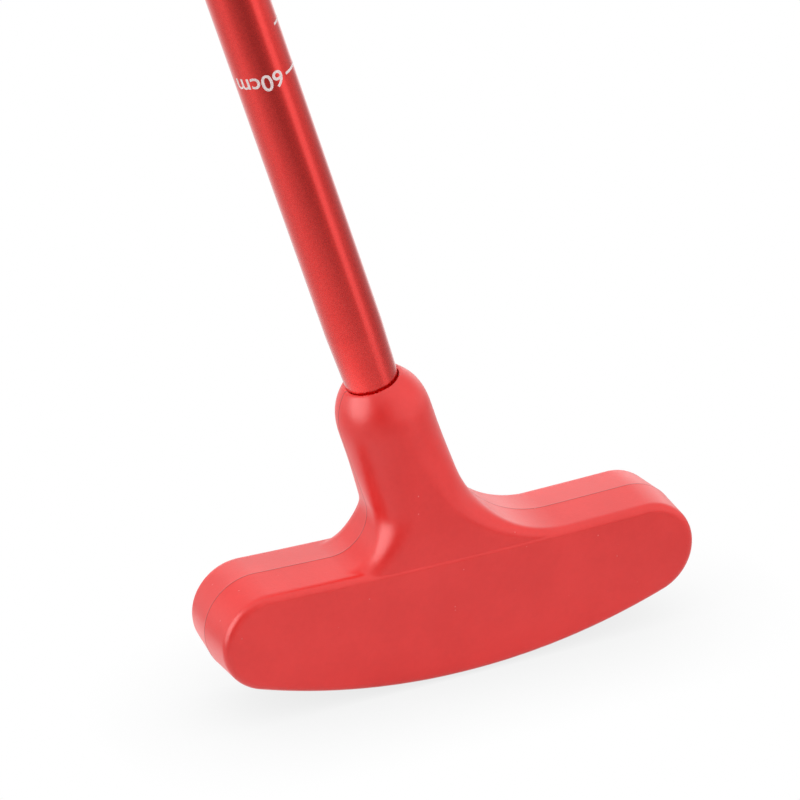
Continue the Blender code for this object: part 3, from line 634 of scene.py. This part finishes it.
def row_tree():
    """Geometry nodes that repeat a small shape in rows round an axis, on a radius that may swell."""
    tree = bpy.data.node_groups.new("rows round an axis", "GeometryNodeTree")
    floats = ("Pitch", "First Height", "Radius", "Swell", "Length", "Stagger")
    kinds = {"Shape": "Geometry", "Rows": "Int", "Around": "Int", "Finish": "Material"}
    kinds.update({name: "Float" for name in floats})
    for name, kind in kinds.items():
        tree.interface.new_socket(name, in_out="INPUT", socket_type="NodeSocket" + kind)
    tree.interface.new_socket("Pattern", in_out="OUTPUT", socket_type="NodeSocketGeometry")
    nodes = Nodes(tree)
    given = tree.nodes.new("NodeGroupInput")
    sizes = {name: Value(nodes, given.outputs[name]) for name in kinds}
    index = nodes.node("GeometryNodeInputIndex", {}, {})
    row = (index / sizes["Around"]).math("FLOOR")
    turn = index.math("MODULO", sizes["Around"]) + row.math("MODULO", 2.0) * sizes["Stagger"]
    angle = turn / sizes["Around"] * math.tau
    height = sizes["First Height"] + row * sizes["Pitch"]
    radius = sizes["Radius"] + sizes["Swell"] * (height / sizes["Length"]) ** 1.5
    spot = [radius * angle.math("COSINE"), radius * angle.math("SINE"), height]
    spot = nodes.node("ShaderNodeCombineXYZ", {}, spot)
    count = sizes["Rows"] * sizes["Around"]
    points = nodes.node("GeometryNodePoints", {}, {"Count": count, "Position": spot})
    facing = nodes.node("ShaderNodeCombineXYZ", {}, {"Z": angle})
    facing = nodes.node("FunctionNodeEulerToRotation", {}, [facing])
    inputs = {"Points": points, "Instance": sizes["Shape"], "Rotation": facing}
    copies = nodes.node("GeometryNodeInstanceOnPoints", {}, inputs)
    whole = nodes.node("GeometryNodeRealizeInstances", {}, [copies])
    inputs = {"Geometry": whole, "Material": sizes["Finish"]}
    finished = nodes.node("GeometryNodeSetMaterial", {}, inputs)
    nodes.feed(tree.nodes.new("NodeGroupOutput").inputs["Pattern"], finished)
    return tree


rows_round_an_axis = row_tree()


def repeated(shape, finish, place, **sizes):
    """The small shape's mesh repeated by the tree, as one plain mesh put in its place."""
    values = {"Rows": 1, "Around": 1, "Pitch": 0.0, "First_Height": 0.0, "Radius": 0.0}
    values.update({"Swell": 0.0, "Length": 1.0, "Stagger": 0.0, **sizes})
    holder = placed("pattern", shape)
    change = holder.modifiers.new("rows", "NODES")
    change.node_group = rows_round_an_axis
    for item in rows_round_an_axis.interface.items_tree:
        if item.in_out == "INPUT" and item.name == "Finish":
            change[item.identifier] = finish.material
        elif item.in_out == "INPUT" and item.name != "Shape":
            change[item.identifier] = values[item.name.replace(" ", "_")]
    done = finished_mesh(holder)
    done.transform(place)
    return done


def together(meshes):
    """One mesh of many."""
    bm = bmesh.new()
    for mesh in meshes:
        bm.from_mesh(mesh)
    whole = bpy.data.meshes.new("together")
    bm.to_mesh(whole)
    bm.free()
    return whole


def tick(start, end):
    """A bent tile of ink from one angle to another, where 0 is the front and 90 degrees the toe."""
    rings = []
    steps = 16
    for k in range(steps + 1):
        angle = start + (end - start) * k / steps
        ring = []
        for lift, side in ((-INK, -1), (-INK, 1), (INK, 1), (INK, -1)):
            reach = LOWER_RADIUS + lift
            ring.append((reach * math.sin(angle), -reach * math.cos(angle), side * TICK_THICK / 2))
        rings.append(ring)
    return as_mesh(skinned(rings))


def label(number):
    """A number with its unit, printed round the tube with its foot towards the grip."""
    text = bpy.data.curves.new("label", "FONT")
    text.body = f"{number}cm"
    text.offset = LABEL_WEIGHT
    bm = bmesh.new()
    bm.from_mesh(finished_mesh(placed("label", text)))
    bmesh.ops.remove_doubles(bm, verts=bm.verts, dist=1e-5)
    xs = [v.co.x for v in bm.verts]
    ys = [v.co.y for v in bm.verts]
    wide, tall = max(xs) - min(xs), max(ys) - min(ys)
    for k in range(1, LABEL_CUTS):
        whole = bm.verts[:] + bm.edges[:] + bm.faces[:]
        spot = (min(xs) + wide * k / LABEL_CUTS, 0, 0)
        bmesh.ops.bisect_plane(bm, geom=whole, dist=1e-6, plane_co=spot, plane_no=(1, 0, 0))
    bmesh.ops.solidify(bm, geom=bm.faces[:], thickness=1.0)
    foot = SCALE_START + (number - SCALE_FIRST) * SCALE_PITCH
    for v in bm.verts:
        angle = LABEL_FROM - (v.co.x - min(xs)) / wide * LABEL_WIDTH / LOWER_RADIUS
        reach = LOWER_RADIUS + (INK if abs(v.co.z) > 0.5 else -INK)
        height = foot + (0.5 - (v.co.y - min(ys)) / tall) * LABEL_HEIGHT
        v.co = (reach * math.sin(angle), -reach * math.cos(angle), height)
    return as_mesh(bm, SHAFT)


ink = Finish("silver ink")
blots = ink.grain(0.00025, ink.place(middle=GROUND, turn=SHAFT_TURN), detail=3)
ink_colour = ink.mix(ink.ramp(blots, 0.3, 0.7), paint(214, 190, 190), paint(236, 224, 222))
ink.set(Base_Color=ink_colour, Roughness=0.45 + blots * 0.1, Normal=ink.bump(blots, 0.000004))
marks = SCALE_LAST - SCALE_FIRST + 1
long_marks = (SCALE_LAST - SCALE_FIRST) // SCALE_LABELS + 1
printed = [
    repeated(
        tick(TICK_FROM, TICK_TO), ink, SHAFT,
        Rows=marks, Pitch=SCALE_PITCH, First_Height=SCALE_START,
    ),
    repeated(
        tick(LONG_TICK_FROM, TICK_FROM), ink, SHAFT,
        Rows=long_marks, Pitch=SCALE_PITCH * SCALE_LABELS, First_Height=SCALE_START,
    ),
]
printed += [label(number) for number in range(SCALE_FIRST, SCALE_LAST + 1, SCALE_LABELS)]
piece("length_scale", together(printed), ink, "head")


# The guide in the upper tube: a turned plug in the lower tube's top, a plastic bush that slides
# in the upper tube and turns on the plug, and the washer and screw that keep it there.
plug_metal = metal(
    "turned plug", paint(220, 220, 223), paint(196, 197, 200), 0.34, (1, 1, 0.3), SHAFT_TURN
)
screw_steel = metal(
    "zinc plated steel", paint(190, 191, 196), paint(164, 166, 172), 0.30, (1, 1, 1)
)
dress("end_plug", plug_metal)
dress("guide_washer", screw_steel)
dress("guide_screw", screw_steel)


def plastic(name, dark, light, roughness, texture):
    """Moulded plastic with a fine sparked texture of a size in metres."""
    finish = Finish(name)
    spark = finish.grain(texture, detail=3, rough=0.6)
    flow = finish.grain(0.008, detail=2)
    return finish.set(
        Base_Color=finish.mix(finish.ramp(flow + spark * 0.3, 0.4, 0.9), dark, light),
        Roughness=roughness + spark * 0.12,
        Normal=finish.bump(spark, 0.00003),
    )


guide_plastic = plastic("black acetal", paint(48, 48, 50), paint(56, 56, 58), 0.38, 0.0003)
dress("guide_bush", guide_plastic)


# The upper tube: red anodised like the lower one, and slit at its mouth so that the clamp can
# squeeze it. A split plastic bush in the mouth takes up the room between the tubes.
CLAMP = SHAFT @ Matrix.Translation((0, 0, 0.293))
UPPER_RADIUS = 0.0080
UPPER_BORE = 0.0072
UPPER_BOTTOM = 0.0025
UPPER_TOP = 0.4527
SLIT_HALF = 0.0008
SLIT_TOP = 0.0305
BUSH_BORE = 0.00615
BUSH_OUTER = 0.0069
BUSH_BOTTOM = 0.0005
BUSH_FLANGE_TOP = 0.0022
BUSH_TOP = 0.042
UPPER_EDGE = 0.0002


def slit():
    """The cut down one side of the mouth, open at its foot."""
    return slab((-SLIT_HALF, 0, -0.002), (SLIT_HALF, 0.01, SLIT_TOP), CLAMP)


upper = [(UPPER_BORE, UPPER_BOTTOM), (UPPER_BORE, UPPER_TOP)]
upper += [(UPPER_RADIUS, UPPER_TOP), (UPPER_RADIUS, UPPER_BOTTOM)]
upper_tube = as_mesh(turned(softened(upper, UPPER_EDGE), 128, wrap=True), CLAMP)
upper_tube = carved(upper_tube, slit())
piece("upper_tube_anodised", upper_tube, anodised, "handle", ["upper_tube"])
bush = [(BUSH_BORE, BUSH_BOTTOM, 0.0004), (BUSH_BORE, BUSH_TOP), (BUSH_OUTER, BUSH_TOP)]
bush += [(BUSH_OUTER, BUSH_FLANGE_TOP, 0), (UPPER_RADIUS, BUSH_FLANGE_TOP)]
bush += [(UPPER_RADIUS, BUSH_BOTTOM, 0.0005)]
bush_mesh = as_mesh(turned(softened(bush, UPPER_EDGE), 128, wrap=True), CLAMP)
bush_mesh = carved(bush_mesh, slit())
piece("mouth_bush_split", bush_mesh, guide_plastic, "handle", ["mouth_bush"])


# The clamp's collar: one split moulding in black plastic round the tube's mouth. Its two ears
# take the bolt, and rounded roots join them to the band.
COLLAR_BORE = 0.0083
COLLAR_RADIUS = 0.0112
COLLAR_HEIGHT = 0.026
COLLAR_EDGE = 0.0009
COLLAR_SPLIT = 0.0020
COLLAR_STEP = 0.00036
EAR_FACE = 0.0062
EAR_BOTTOM, EAR_TOP = 0.004, 0.022
BOLT_Y = 0.014827
EAR_END = BOLT_Y + 0.0049
EAR_CORNER = 0.0030
EAR_EDGE = 0.0007
EAR_ROOT = 0.0022
BOLT_HEIGHT = 0.013
BOLT_HOLE = 0.0018
GROOVE_INSET = 0.0052
GROOVE_RADIUS = 0.00045
GROOVE_PROUD = 0.0001
EAR_FROM = 0.006


def collar_field(points):
    """The collar about its own foot: a band with two shallow grooves, and a block for both ears."""
    x, y, z = points[..., 0], points[..., 1], points[..., 2]
    across = np.abs(z - COLLAR_HEIGHT / 2) - COLLAR_HEIGHT / 2
    band = rounded(np.hypot(x, y) - COLLAR_RADIUS, across, COLLAR_EDGE)
    for middle in (GROOVE_INSET, COLLAR_HEIGHT - GROOVE_INSET):
        out = np.hypot(x, y) - COLLAR_RADIUS - GROOVE_PROUD
        groove = np.hypot(out, z - middle) - GROOVE_RADIUS
        band = np.where(y < EAR_FROM, np.maximum(band, -groove), band)
    ear_side = np.abs(z - BOLT_HEIGHT) - (EAR_TOP - EAR_BOTTOM) / 2
    ear = rounded(ear_side, y - EAR_END, EAR_CORNER)
    ear = rounded(ear, np.abs(x) - EAR_FACE, EAR_EDGE)
    ear = np.maximum(ear, EAR_FROM - y)
    return joined(band, ear, EAR_ROOT)


collar_mesh = moulded(
    collar_field,
    np.arange(-COLLAR_RADIUS - 0.001, COLLAR_RADIUS + 0.0015, COLLAR_STEP),
    np.arange(-COLLAR_RADIUS - 0.001, EAR_END + 0.0015, COLLAR_STEP),
    np.arange(-0.001, COLLAR_HEIGHT + 0.0015, COLLAR_STEP),
)
BOLT = Matrix.Translation((0, BOLT_Y, BOLT_HEIGHT)) @ Matrix.Rotation(math.pi / 2, 4, "Y")
collar_bore = [(0, -0.002), (COLLAR_BORE, -0.002), (COLLAR_BORE, COLLAR_HEIGHT + 0.002)]
collar_bore += [(0, COLLAR_HEIGHT + 0.002)]
ear_hole = [(0, -0.01), (BOLT_HOLE, -0.01), (BOLT_HOLE, 0.01), (0, 0.01)]
split = slab((-COLLAR_SPLIT / 2, 0, -0.002), (COLLAR_SPLIT / 2, 0.03, COLLAR_HEIGHT + 0.002))
collar_mesh = carved(
    collar_mesh, as_mesh(turned(collar_bore)), split, as_mesh(turned(ear_hole, 48), BOLT)
)
collar_mesh.transform(CLAMP)
clamp_plastic = plastic("black clamp plastic", paint(50, 50, 53), paint(58, 58, 61), 0.40, 0.0002)
piece(
    "clamp_collar_moulding", collar_mesh, clamp_plastic, "handle", ["clamp_collar"], 40
)


# The clamp's bolt, nut, washer and pin: a plated steel bolt through both ears, a turned nut
# with a fluted rim on the heel side, a brass washer for the cam, and the lever's cross pin.
NUT_INNER = 0.0065
NUT_THICK = 0.0052
NUT_RADIUS = 0.0046
NUT_FLUTES = 16
NUT_FLUTE = 0.0003
NUT_RIM = 0.0006
BOLT_RADIUS = 0.0015
BOLT_TAIL = 0.0008
WASHER_X = 0.0065
WASHER_THICK = 0.0017
WASHER_RADIUS = 0.0045
PIN_X = 0.0135
PIN_RADIUS = 0.0025
PIN_HALF = 0.0086
PIN_EDGE = 0.0004
ON_BOLT = CLAMP @ BOLT
ON_PIN = CLAMP @ Matrix.Translation((PIN_X, BOLT_Y, BOLT_HEIGHT))


def fluted(radius, angle):
    """The nut's rim, with narrow flutes between broad rounds."""
    if radius < NUT_RADIUS - NUT_RIM:
        return radius
    wave = 2 * abs(math.cos(NUT_FLUTES * angle / 2)) ** 0.7 - 1
    return radius + NUT_FLUTE * wave


nut_outer = -NUT_INNER - NUT_THICK
nut = [(BOLT_HOLE, -NUT_INNER), (BOLT_HOLE, nut_outer + 0.0006), (0.0030, nut_outer + 0.0002)]
nut += [(0.0036, nut_outer), (NUT_RADIUS, nut_outer, NUT_RIM), (NUT_RADIUS, -NUT_INNER, 0.0004)]
nut_mesh = as_mesh(turned(softened(nut, 0.0002), NUT_FLUTES * 12, True, fluted), ON_BOLT)


def lathe_turned(name, tint, shade, roughness, middle, turn, pitch):
    """Metal off a lathe, with fine rings round its own axis."""
    finish = Finish(name)
    spot = finish.place(middle=middle, turn=turn)
    x = finish.node("ShaderNodeSeparateXYZ", {}, [spot], "X")
    y = finish.node("ShaderNodeSeparateXYZ", {}, [spot], "Y")
    rings = ((x * x + y * y) ** 0.5 * (math.tau / pitch)).math("SINE")
    worn = finish.grain(0.0009, spot, detail=3)
    return finish.set(
        Base_Color=finish.mix(finish.ramp(worn, 0.35, 0.65), shade, tint),
        Metallic=1.0,
        Roughness=roughness + worn * 0.12 + rings * 0.02,
        Normal=finish.bump(rings * 0.5 + worn, 0.000004),
    )


BOLT_TURN = tuple(ON_BOLT.to_euler())
aluminium = lathe_turned(
    "turned aluminium", paint(220, 220, 224), paint(200, 201, 205), 0.26,
    ON_BOLT.translation, BOLT_TURN, 0.00016,
)
brass = lathe_turned(
    "turned brass", paint(214, 190, 132), paint(196, 168, 108), 0.28,
    ON_BOLT.translation, BOLT_TURN, 0.0002,
)
piece("thumb_nut_fluted", nut_mesh, aluminium, "nut", ["thumb_nut"])

bolt_tail, bolt_end = nut_outer - BOLT_TAIL, PIN_X + PIN_RADIUS - 0.0005
bolt = [(0, bolt_tail), (BOLT_RADIUS, bolt_tail, 0.0004)]
bolt += [(BOLT_RADIUS, bolt_end, 0.0003), (0, bolt_end)]
bolt_mesh = as_mesh(turned(softened(bolt, 0, closed=False), 48), ON_BOLT)
piece("clamp_bolt_plated", bolt_mesh, screw_steel, "handle", ["clamp_bolt"])

washer = [(BOLT_HOLE, WASHER_X), (BOLT_HOLE, WASHER_X + WASHER_THICK)]
washer += [(WASHER_RADIUS, WASHER_X + WASHER_THICK), (WASHER_RADIUS, WASHER_X)]
washer_mesh = as_mesh(turned(softened(washer, 0.00025), 96, wrap=True), ON_BOLT)
piece("cam_washer_turned", washer_mesh, brass, "handle", ["cam_washer"])

pin = [(0, -PIN_HALF), (PIN_RADIUS, -PIN_HALF, PIN_EDGE)]
pin += [(PIN_RADIUS, PIN_HALF, PIN_EDGE), (0, PIN_HALF)]
hole_from, hole_to = PIN_X - 0.005, PIN_X + 0.005
pin_hole = [(0, hole_from), (BOLT_HOLE, hole_from), (BOLT_HOLE, hole_to), (0, hole_to)]
pin_mesh = as_mesh(turned(softened(pin, 0, closed=False), 64), ON_PIN)
pin_mesh = carved(pin_mesh, as_mesh(turned(pin_hole, 48), ON_BOLT))
piece("lever_pin_drilled", pin_mesh, screw_steel, "handle", ["lever_pin"])


# The clamp's lever: a black plastic moulding whose cam presses on the washer when it is shut.
# The arm lies round the collar, and its tip lifts off it with ribs for the thumb.
CAM_RADIUS = 0.0045
CAM_THROW = 0.0005
LEVER_HALF_HEIGHT = 0.008
LEVER_THICK = 0.0028
LEVER_MIDDLE = 0.0136
LEVER_START = math.radians(12)
LEVER_TIP = math.radians(-78)
LEVER_TIP_LIFT = 0.0022
LEVER_LIFT_FROM = 0.7
LEVER_EDGE = 0.0006
LEVER_STEP = 0.00032
FORK_HALF = 0.0022
PIN_ROOM = 0.0001
RIB_HEIGHT = 0.00022
RIB_TURNS = 88
RIB_FROM, RIB_TO = 0.72, 0.78


def lever_field(points):
    """The lever about the collar's axis."""
    x, y, z = points[..., 0], points[..., 1], points[..., 2]
    cam = np.hypot(x - PIN_X + CAM_THROW, y - BOLT_Y) - CAM_RADIUS
    turn = np.arctan2(y, x)
    share = np.clip((LEVER_START - turn) / (LEVER_START - LEVER_TIP), 0, 1)
    lift = LEVER_TIP_LIFT * np.maximum(share - LEVER_LIFT_FROM, 0) / (1 - LEVER_LIFT_FROM)
    middle = LEVER_MIDDLE + lift
    past = np.maximum(LEVER_TIP - turn, 0) * middle
    arm = np.hypot(np.abs(np.hypot(x, y) - middle), past) - LEVER_THICK / 2
    arm = np.where(turn > LEVER_START + 0.5, 1.0, arm)
    start = LEVER_MIDDLE * np.array([math.cos(LEVER_START), math.sin(LEVER_START)])
    root = np.array([PIN_X - CAM_THROW, BOLT_Y])
    way = root - start
    along = np.clip(((x - start[0]) * way[0] + (y - start[1]) * way[1]) / (way @ way), 0, 1)
    width = LEVER_THICK / 2 + (CAM_RADIUS * 0.9 - LEVER_THICK / 2) * along
    throat = np.hypot(x - start[0] - way[0] * along, y - start[1] - way[1] * along) - width
    side = joined(joined(cam, throat, 0.001), arm, 0.002)
    ribs = RIB_HEIGHT * np.cos(share * RIB_TURNS) * eased(share, RIB_FROM, RIB_TO)
    outside = np.hypot(x, y) > middle
    side = side - np.where(outside, ribs - RIB_HEIGHT, 0) * eased(share, RIB_FROM - 0.02, RIB_TO)
    return rounded(side, np.abs(z - BOLT_HEIGHT) - LEVER_HALF_HEIGHT, LEVER_EDGE)


lever_foot, lever_head = BOLT_HEIGHT - LEVER_HALF_HEIGHT, BOLT_HEIGHT + LEVER_HALF_HEIGHT
lever_mesh = moulded(
    lever_field,
    np.arange(-0.001, 0.0200, LEVER_STEP),
    np.arange(-0.0190, 0.0205, LEVER_STEP),
    np.arange(lever_foot - 0.0008, lever_head + 0.001, LEVER_STEP),
)
fork = slab(
    (PIN_X - 0.007, BOLT_Y - FORK_HALF, BOLT_HEIGHT - FORK_HALF),
    (PIN_X + 0.007, BOLT_Y + 0.007, BOLT_HEIGHT + FORK_HALF),
)
eye = PIN_RADIUS + PIN_ROOM
pin_room = [(0, -0.011), (eye, -0.011), (eye, 0.011), (0, 0.011)]
pin_place = Matrix.Translation((PIN_X, BOLT_Y, BOLT_HEIGHT))
lever_mesh = carved(lever_mesh, fork, as_mesh(turned(pin_room, 64), pin_place))
lever_mesh.transform(CLAMP)
lever_plastic = plastic("black lever plastic", paint(53, 53, 56), paint(60, 60, 63), 0.30, 0.0004)
piece(
    "clamp_lever_moulding", lever_mesh, lever_plastic, "lever", ["clamp_lever"], 40
)


# The grip: a black rubber sleeve over a layer of creped paper tape. Four rings are cut in its
# lip, and rows of low pips run from there to the butt.
GRIP_BOTTOM = 0.2207
GRIP_LENGTH = 0.232
GRIP_BORE = 0.0089
GRIP_LIP = 0.0104
GRIP_BUTT = 0.0134
GRIP_SWELL = 1.5
RING_COUNT, RING_PITCH, RING_WIDTH, RING_DEPTH = 4, 0.005, 0.0016, 0.0006
RING_FIRST = 0.006
RING_HOLLOW = ((-0.5, 0), (-0.42, 0.2), (-0.3, 0.85), (-0.15, 1))
PIP_HEIGHT = 0.00022
PIP_ACROSS, PIP_ALONG, PIP_SIDES = 0.00085, 0.00135, 10
PIP_FROM, PIP_TO = 0.029, 0.226
PIP_ROWS, PIP_AROUND = 66, 20
ON_GRIP = CLAMP @ Matrix.Translation((0, 0, GRIP_BOTTOM))

tape = Finish("creped paper tape")
crepe = tape.grain(0.0005, tape.place(GROUND, SHAFT_TURN, (1, 1, 0.3)), detail=3)
tape_colour = tape.mix(crepe, paint(196, 192, 176), paint(214, 210, 196))
tape.set(Base_Color=tape_colour, Roughness=0.75 + crepe * 0.2, Normal=tape.bump(crepe, 0.00006))
dress("grip_tape", tape)


def grip_radius(height):
    """The sleeve swells from its lip to its butt."""
    return GRIP_LIP + (GRIP_BUTT - GRIP_LIP) * (height / GRIP_LENGTH) ** GRIP_SWELL


outside = [(GRIP_LIP - 0.0009, 0.0), (GRIP_LIP - 0.0003, 0.0002), (GRIP_LIP, 0.0009)]
for k in range(RING_COUNT):
    middle = RING_FIRST + k * RING_PITCH
    for step, drop in RING_HOLLOW + tuple((-step, drop) for step, drop in reversed(RING_HOLLOW)):
        height = middle + step * RING_WIDTH
        outside.append((grip_radius(height) - drop * RING_DEPTH, height))
for height in np.linspace(0.025, PIP_FROM - 0.003, 3):
    outside.append((grip_radius(height), height))
for height in np.linspace(PIP_FROM - 0.002, PIP_TO + 0.001, 40):
    outside.append((grip_radius(height) - PIP_HEIGHT, height))
outside += [(grip_radius(PIP_TO + 0.002), PIP_TO + 0.002), (GRIP_BUTT, GRIP_LENGTH)]
profile = outside + [(GRIP_BORE, GRIP_LENGTH), (GRIP_BORE, 0.0)]
sleeve = as_mesh(turned(profile, 96, wrap=True), ON_GRIP)

pip_rings = []
for share, lift in ((1.0, -0.5), (1.0, 0.35), (0.75, 0.85), (0.35, 1.0)):
    ring = []
    for k in range(PIP_SIDES):
        angle = math.tau * k / PIP_SIDES
        wide, tall = PIP_ACROSS * share * math.cos(angle), PIP_ALONG * share * math.sin(angle)
        ring.append((lift * PIP_HEIGHT, wide, tall))
    pip_rings.append(ring)
grip_rubber = Finish("black grip rubber")
on_grip = grip_rubber.place(GROUND, SHAFT_TURN)
tooth = grip_rubber.grain(0.00025, on_grip, detail=3, rough=0.6)
bloom = grip_rubber.grain(0.012, on_grip, detail=4)
worn = grip_rubber.ramp(bloom + tooth * 0.3, 0.5, 0.85)
black = grip_rubber.mix(worn, paint(38, 38, 40), paint(50, 50, 52))
grip_rubber.set(
    Base_Color=black, Roughness=0.62 + tooth * 0.2, Normal=grip_rubber.bump(tooth, 0.00005)
)
pips = repeated(
    as_mesh(skinned(pip_rings)), grip_rubber, ON_GRIP,
    Rows=PIP_ROWS, Around=PIP_AROUND, Pitch=(PIP_TO - PIP_FROM) / PIP_ROWS,
    First_Height=PIP_FROM, Radius=GRIP_LIP - PIP_HEIGHT, Swell=GRIP_BUTT - GRIP_LIP,
    Length=GRIP_LENGTH, Stagger=0.5,
)
piece("grip_sleeve", together([sleeve, pips]), grip_rubber, "handle", ["grip"], 40)


# The butt cap: black rubber, pushed into the tube's top over the grip's end, with a vent that
# lets the air out as the tubes close.
CAP_BOTTOM = 0.443
CAP_UNDER = 0.453
CAP_TOP = 0.457
VENT = 0.0012
CAP_DISH = 0.0004
cap = [(VENT, CAP_BOTTOM, 0), (BUSH_OUTER, CAP_BOTTOM), (BUSH_OUTER, CAP_UNDER, 0)]
cap += [(GRIP_BUTT, CAP_UNDER, 0.0002), (GRIP_BUTT, CAP_TOP, 0.0018), (0.0070, CAP_TOP)]
cap += [(0.0066, CAP_TOP - CAP_DISH), (0.0026, CAP_TOP - CAP_DISH), (VENT, CAP_TOP - 0.0007, 0)]
cap_mesh = as_mesh(turned(softened(cap, 0.0003, steps=5), 96, wrap=True), CLAMP)
piece("butt_cap_moulding", cap_mesh, grip_rubber, "handle", ["butt_cap"])


# The room: a floor that shows the white background with a painted shadow of the putter on it,
# soft light from the front and above, and the camera where the photographer stood.
FLOOR_HALF = 3.0
FLOOR_COLOUR = (0.72, 0.72, 0.72, 1)
FLOOR_SHADE = (0.8, 0.8, 0.8, 1)
SHADE_REACH = 0.03
CAMERA_OFFSET = (-0.2546, -0.6019, 0.3625)
CAMERA_LENS = 156.7
CAMERA_SENSOR = 36
YAW, PITCH, ROLL = (math.radians(angle) for angle in (22.242, 24.804, -2.809))

floor_bm = bmesh.new()
bmesh.ops.create_grid(floor_bm, x_segments=1, y_segments=1, size=FLOOR_HALF)
floor_mesh = as_mesh(floor_bm, Matrix.Translation(HEAD.translation))
floor_finish = Finish("white floor")
camera_ray, glossy_ray, shadow_ray = (
    floor_finish.node("ShaderNodeLightPath", {}, {}, f"Is {ray} Ray")
    for ray in ("Camera", "Glossy", "Shadow")
)
on_floor = floor_finish.place(middle=HEAD.translation)
heelward = floor_finish.node("ShaderNodeSeparateXYZ", {}, [on_floor], "X") * -1
away = floor_finish.node("ShaderNodeVectorMath", {"operation": "LENGTH"}, [on_floor], "Value")
near = floor_finish.ramp(away, 0.10, 0.07) * glossy_ray
glow = near * (floor_finish.ramp(heelward, 0.03, 0.09) * 0.5 + 0.3)
floor_finish.set(
    Base_Color=FLOOR_COLOUR, Roughness=0.9, Emission_Color=glow, Emission_Strength=1.0
)
floor_finish.shader.inputs["Specular IOR Level"].default_value = 0.0
underside = floor_finish.node("ShaderNodeNewGeometry", {}, {}, "Backfacing")
far = floor_finish.ramp(away, 0.06, 0.30) * glossy_ray + shadow_ray + camera_ray + underside
# Painted shadow: the floor is clear to the camera, and it is tinted grey where ambient occlusion finds
# the putter close above it.
inputs = {"Distance": SHADE_REACH}
open_sky = floor_finish.node("ShaderNodeAmbientOcclusion", {"samples": 12}, inputs, "AO")
clear = floor_finish.node("ShaderNodeBsdfTransparent", {}, {})
shade = floor_finish.node("ShaderNodeBsdfTransparent", {}, {"Color": FLOOR_SHADE})
painted_shadow_share = (1 - open_sky) * camera_ray
shaded = floor_finish.node("ShaderNodeMixShader", {}, [painted_shadow_share, clear, shade])
solid = Value(floor_finish, floor_finish.shader.outputs[0])
surface = floor_finish.node("ShaderNodeMixShader", {}, [far, solid, shaded])
floor_finish.feed(floor_finish.tree.nodes["Material Output"].inputs["Surface"], surface)
floor_mesh.materials.append(floor_finish.material)
placed("floor", floor_mesh)

world = bpy.data.worlds.new("white room")
bpy.context.scene.world = world
world.use_nodes = True
room = Nodes(world.node_tree)
facing = room.node("ShaderNodeTexCoord", {}, {}, "Generated")
x, y, z = (room.node("ShaderNodeSeparateXYZ", {}, [facing], axis) for axis in "XYZ")
OVERHEAD = 1.35
BRIGHTEST = 4
UNSEEN_LIGHT = 0.25
front = (x * math.sin(YAW) + y * math.cos(YAW)) * -1
right = x * math.cos(YAW) - y * math.sin(YAW)
compass = right.math("ARCTAN2", front) / math.tau + 0.5
WALLS = (
    (-180, 1.6), (-155, 1.7), (-138, 1.0), (-120, 1.0), (-104, 1.4), (-88, 1.5), (-70, 1.0),
    (-52, 0.8), (-38, 0.5), (-22, 0.1), (0, 0.06), (20, 0.45), (38, 1.55), (70, 1.75),
    (100, 1.5), (125, 1.05), (150, 1.4), (165, 1.8), (180, 1.6),
)
GROUND_LIGHT = (
    (-180, 0.9), (-140, 0.9), (-100, 0.7), (-56, 0.95), (-21, 0.5), (0, 0.42), (17, 0.32),
    (38, 0.34), (54, 0.46), (60, 1.2), (74, 1.15), (85, 0.5), (102, 0.36), (140, 0.5),
    (162, 1.1), (180, 1.0),
)


def round_room(table):
    """Brightness by compass, from degrees to the right of the photographer's side of the room."""
    stops = [(0.5 + angle / 360, strength / BRIGHTEST) for angle, strength in table]
    dial = room.node("ShaderNodeValToRGB", {"stops": stops}, [compass])
    return room.node("ShaderNodeRGBToBW", {}, [dial]) * BRIGHTEST


above = room.ramp(z, 0.40, 1.0)
level_up = room.ramp(z, -0.15, -0.03)
panels = round_room(GROUND_LIGHT) * (1 - level_up) + round_room(WALLS) * (level_up - above)
panels = panels + above * OVERHEAD
seen = room.node("ShaderNodeLightPath", {}, {}, "Is Camera Ray")
seen = seen + room.node("ShaderNodeLightPath", {}, {}, "Is Transmission Ray")
shiny = room.node("ShaderNodeLightPath", {}, {}, "Is Glossy Ray")
strength = seen + shiny * panels + (1 - seen - shiny) * UNSEEN_LIGHT
sky = world.node_tree.nodes["Background"]
sky.inputs["Color"].default_value = (1, 1, 1, 1)
room.feed(sky.inputs["Strength"], strength)


def lamp(name, towards, strength, spread, mirrored=False):
    """A soft sun that shines from a direction. It either lights things or is mirrored in them."""
    light = bpy.data.lights.new(name, "SUN")
    light.energy = strength
    light.angle = math.radians(spread)
    made = placed(name, light)
    made.rotation_euler = Vector(towards).to_track_quat("Z", "Y").to_euler()
    made.visible_glossy = mirrored
    made.visible_diffuse = not mirrored


lamp("key", (-0.85, 0.40, 0.30), 1.75, 60)
lamp("softbox", (-0.935, -0.094, 0.342), 2.8, 56, mirrored=True)
lamp("fill", (0.29, -0.62, 0.72), 1.85, 90)
lamp("top", (-0.08, 0.10, 0.99), 1.05, 90)

forward = (math.sin(YAW) * math.cos(PITCH), math.cos(YAW) * math.cos(PITCH), -math.sin(PITCH))
forward = Vector(forward)
level = Vector((math.cos(YAW), -math.sin(YAW), 0))
upward = level.cross(forward)
sideways = level * math.cos(ROLL) + upward * math.sin(ROLL)
upright = upward * math.cos(ROLL) - level * math.sin(ROLL)
lens = bpy.data.cameras.new("camera")
lens.lens = CAMERA_LENS
lens.sensor_width = CAMERA_SENSOR
camera = placed("camera", lens)
turn = Matrix((sideways, upright, -forward)).transposed().to_4x4()
camera.matrix_world = Matrix.Translation(HEAD.translation + Vector(CAMERA_OFFSET)) @ turn
bpy.context.scene.camera = camera
bpy.context.scene.view_settings.view_transform = "Standard"
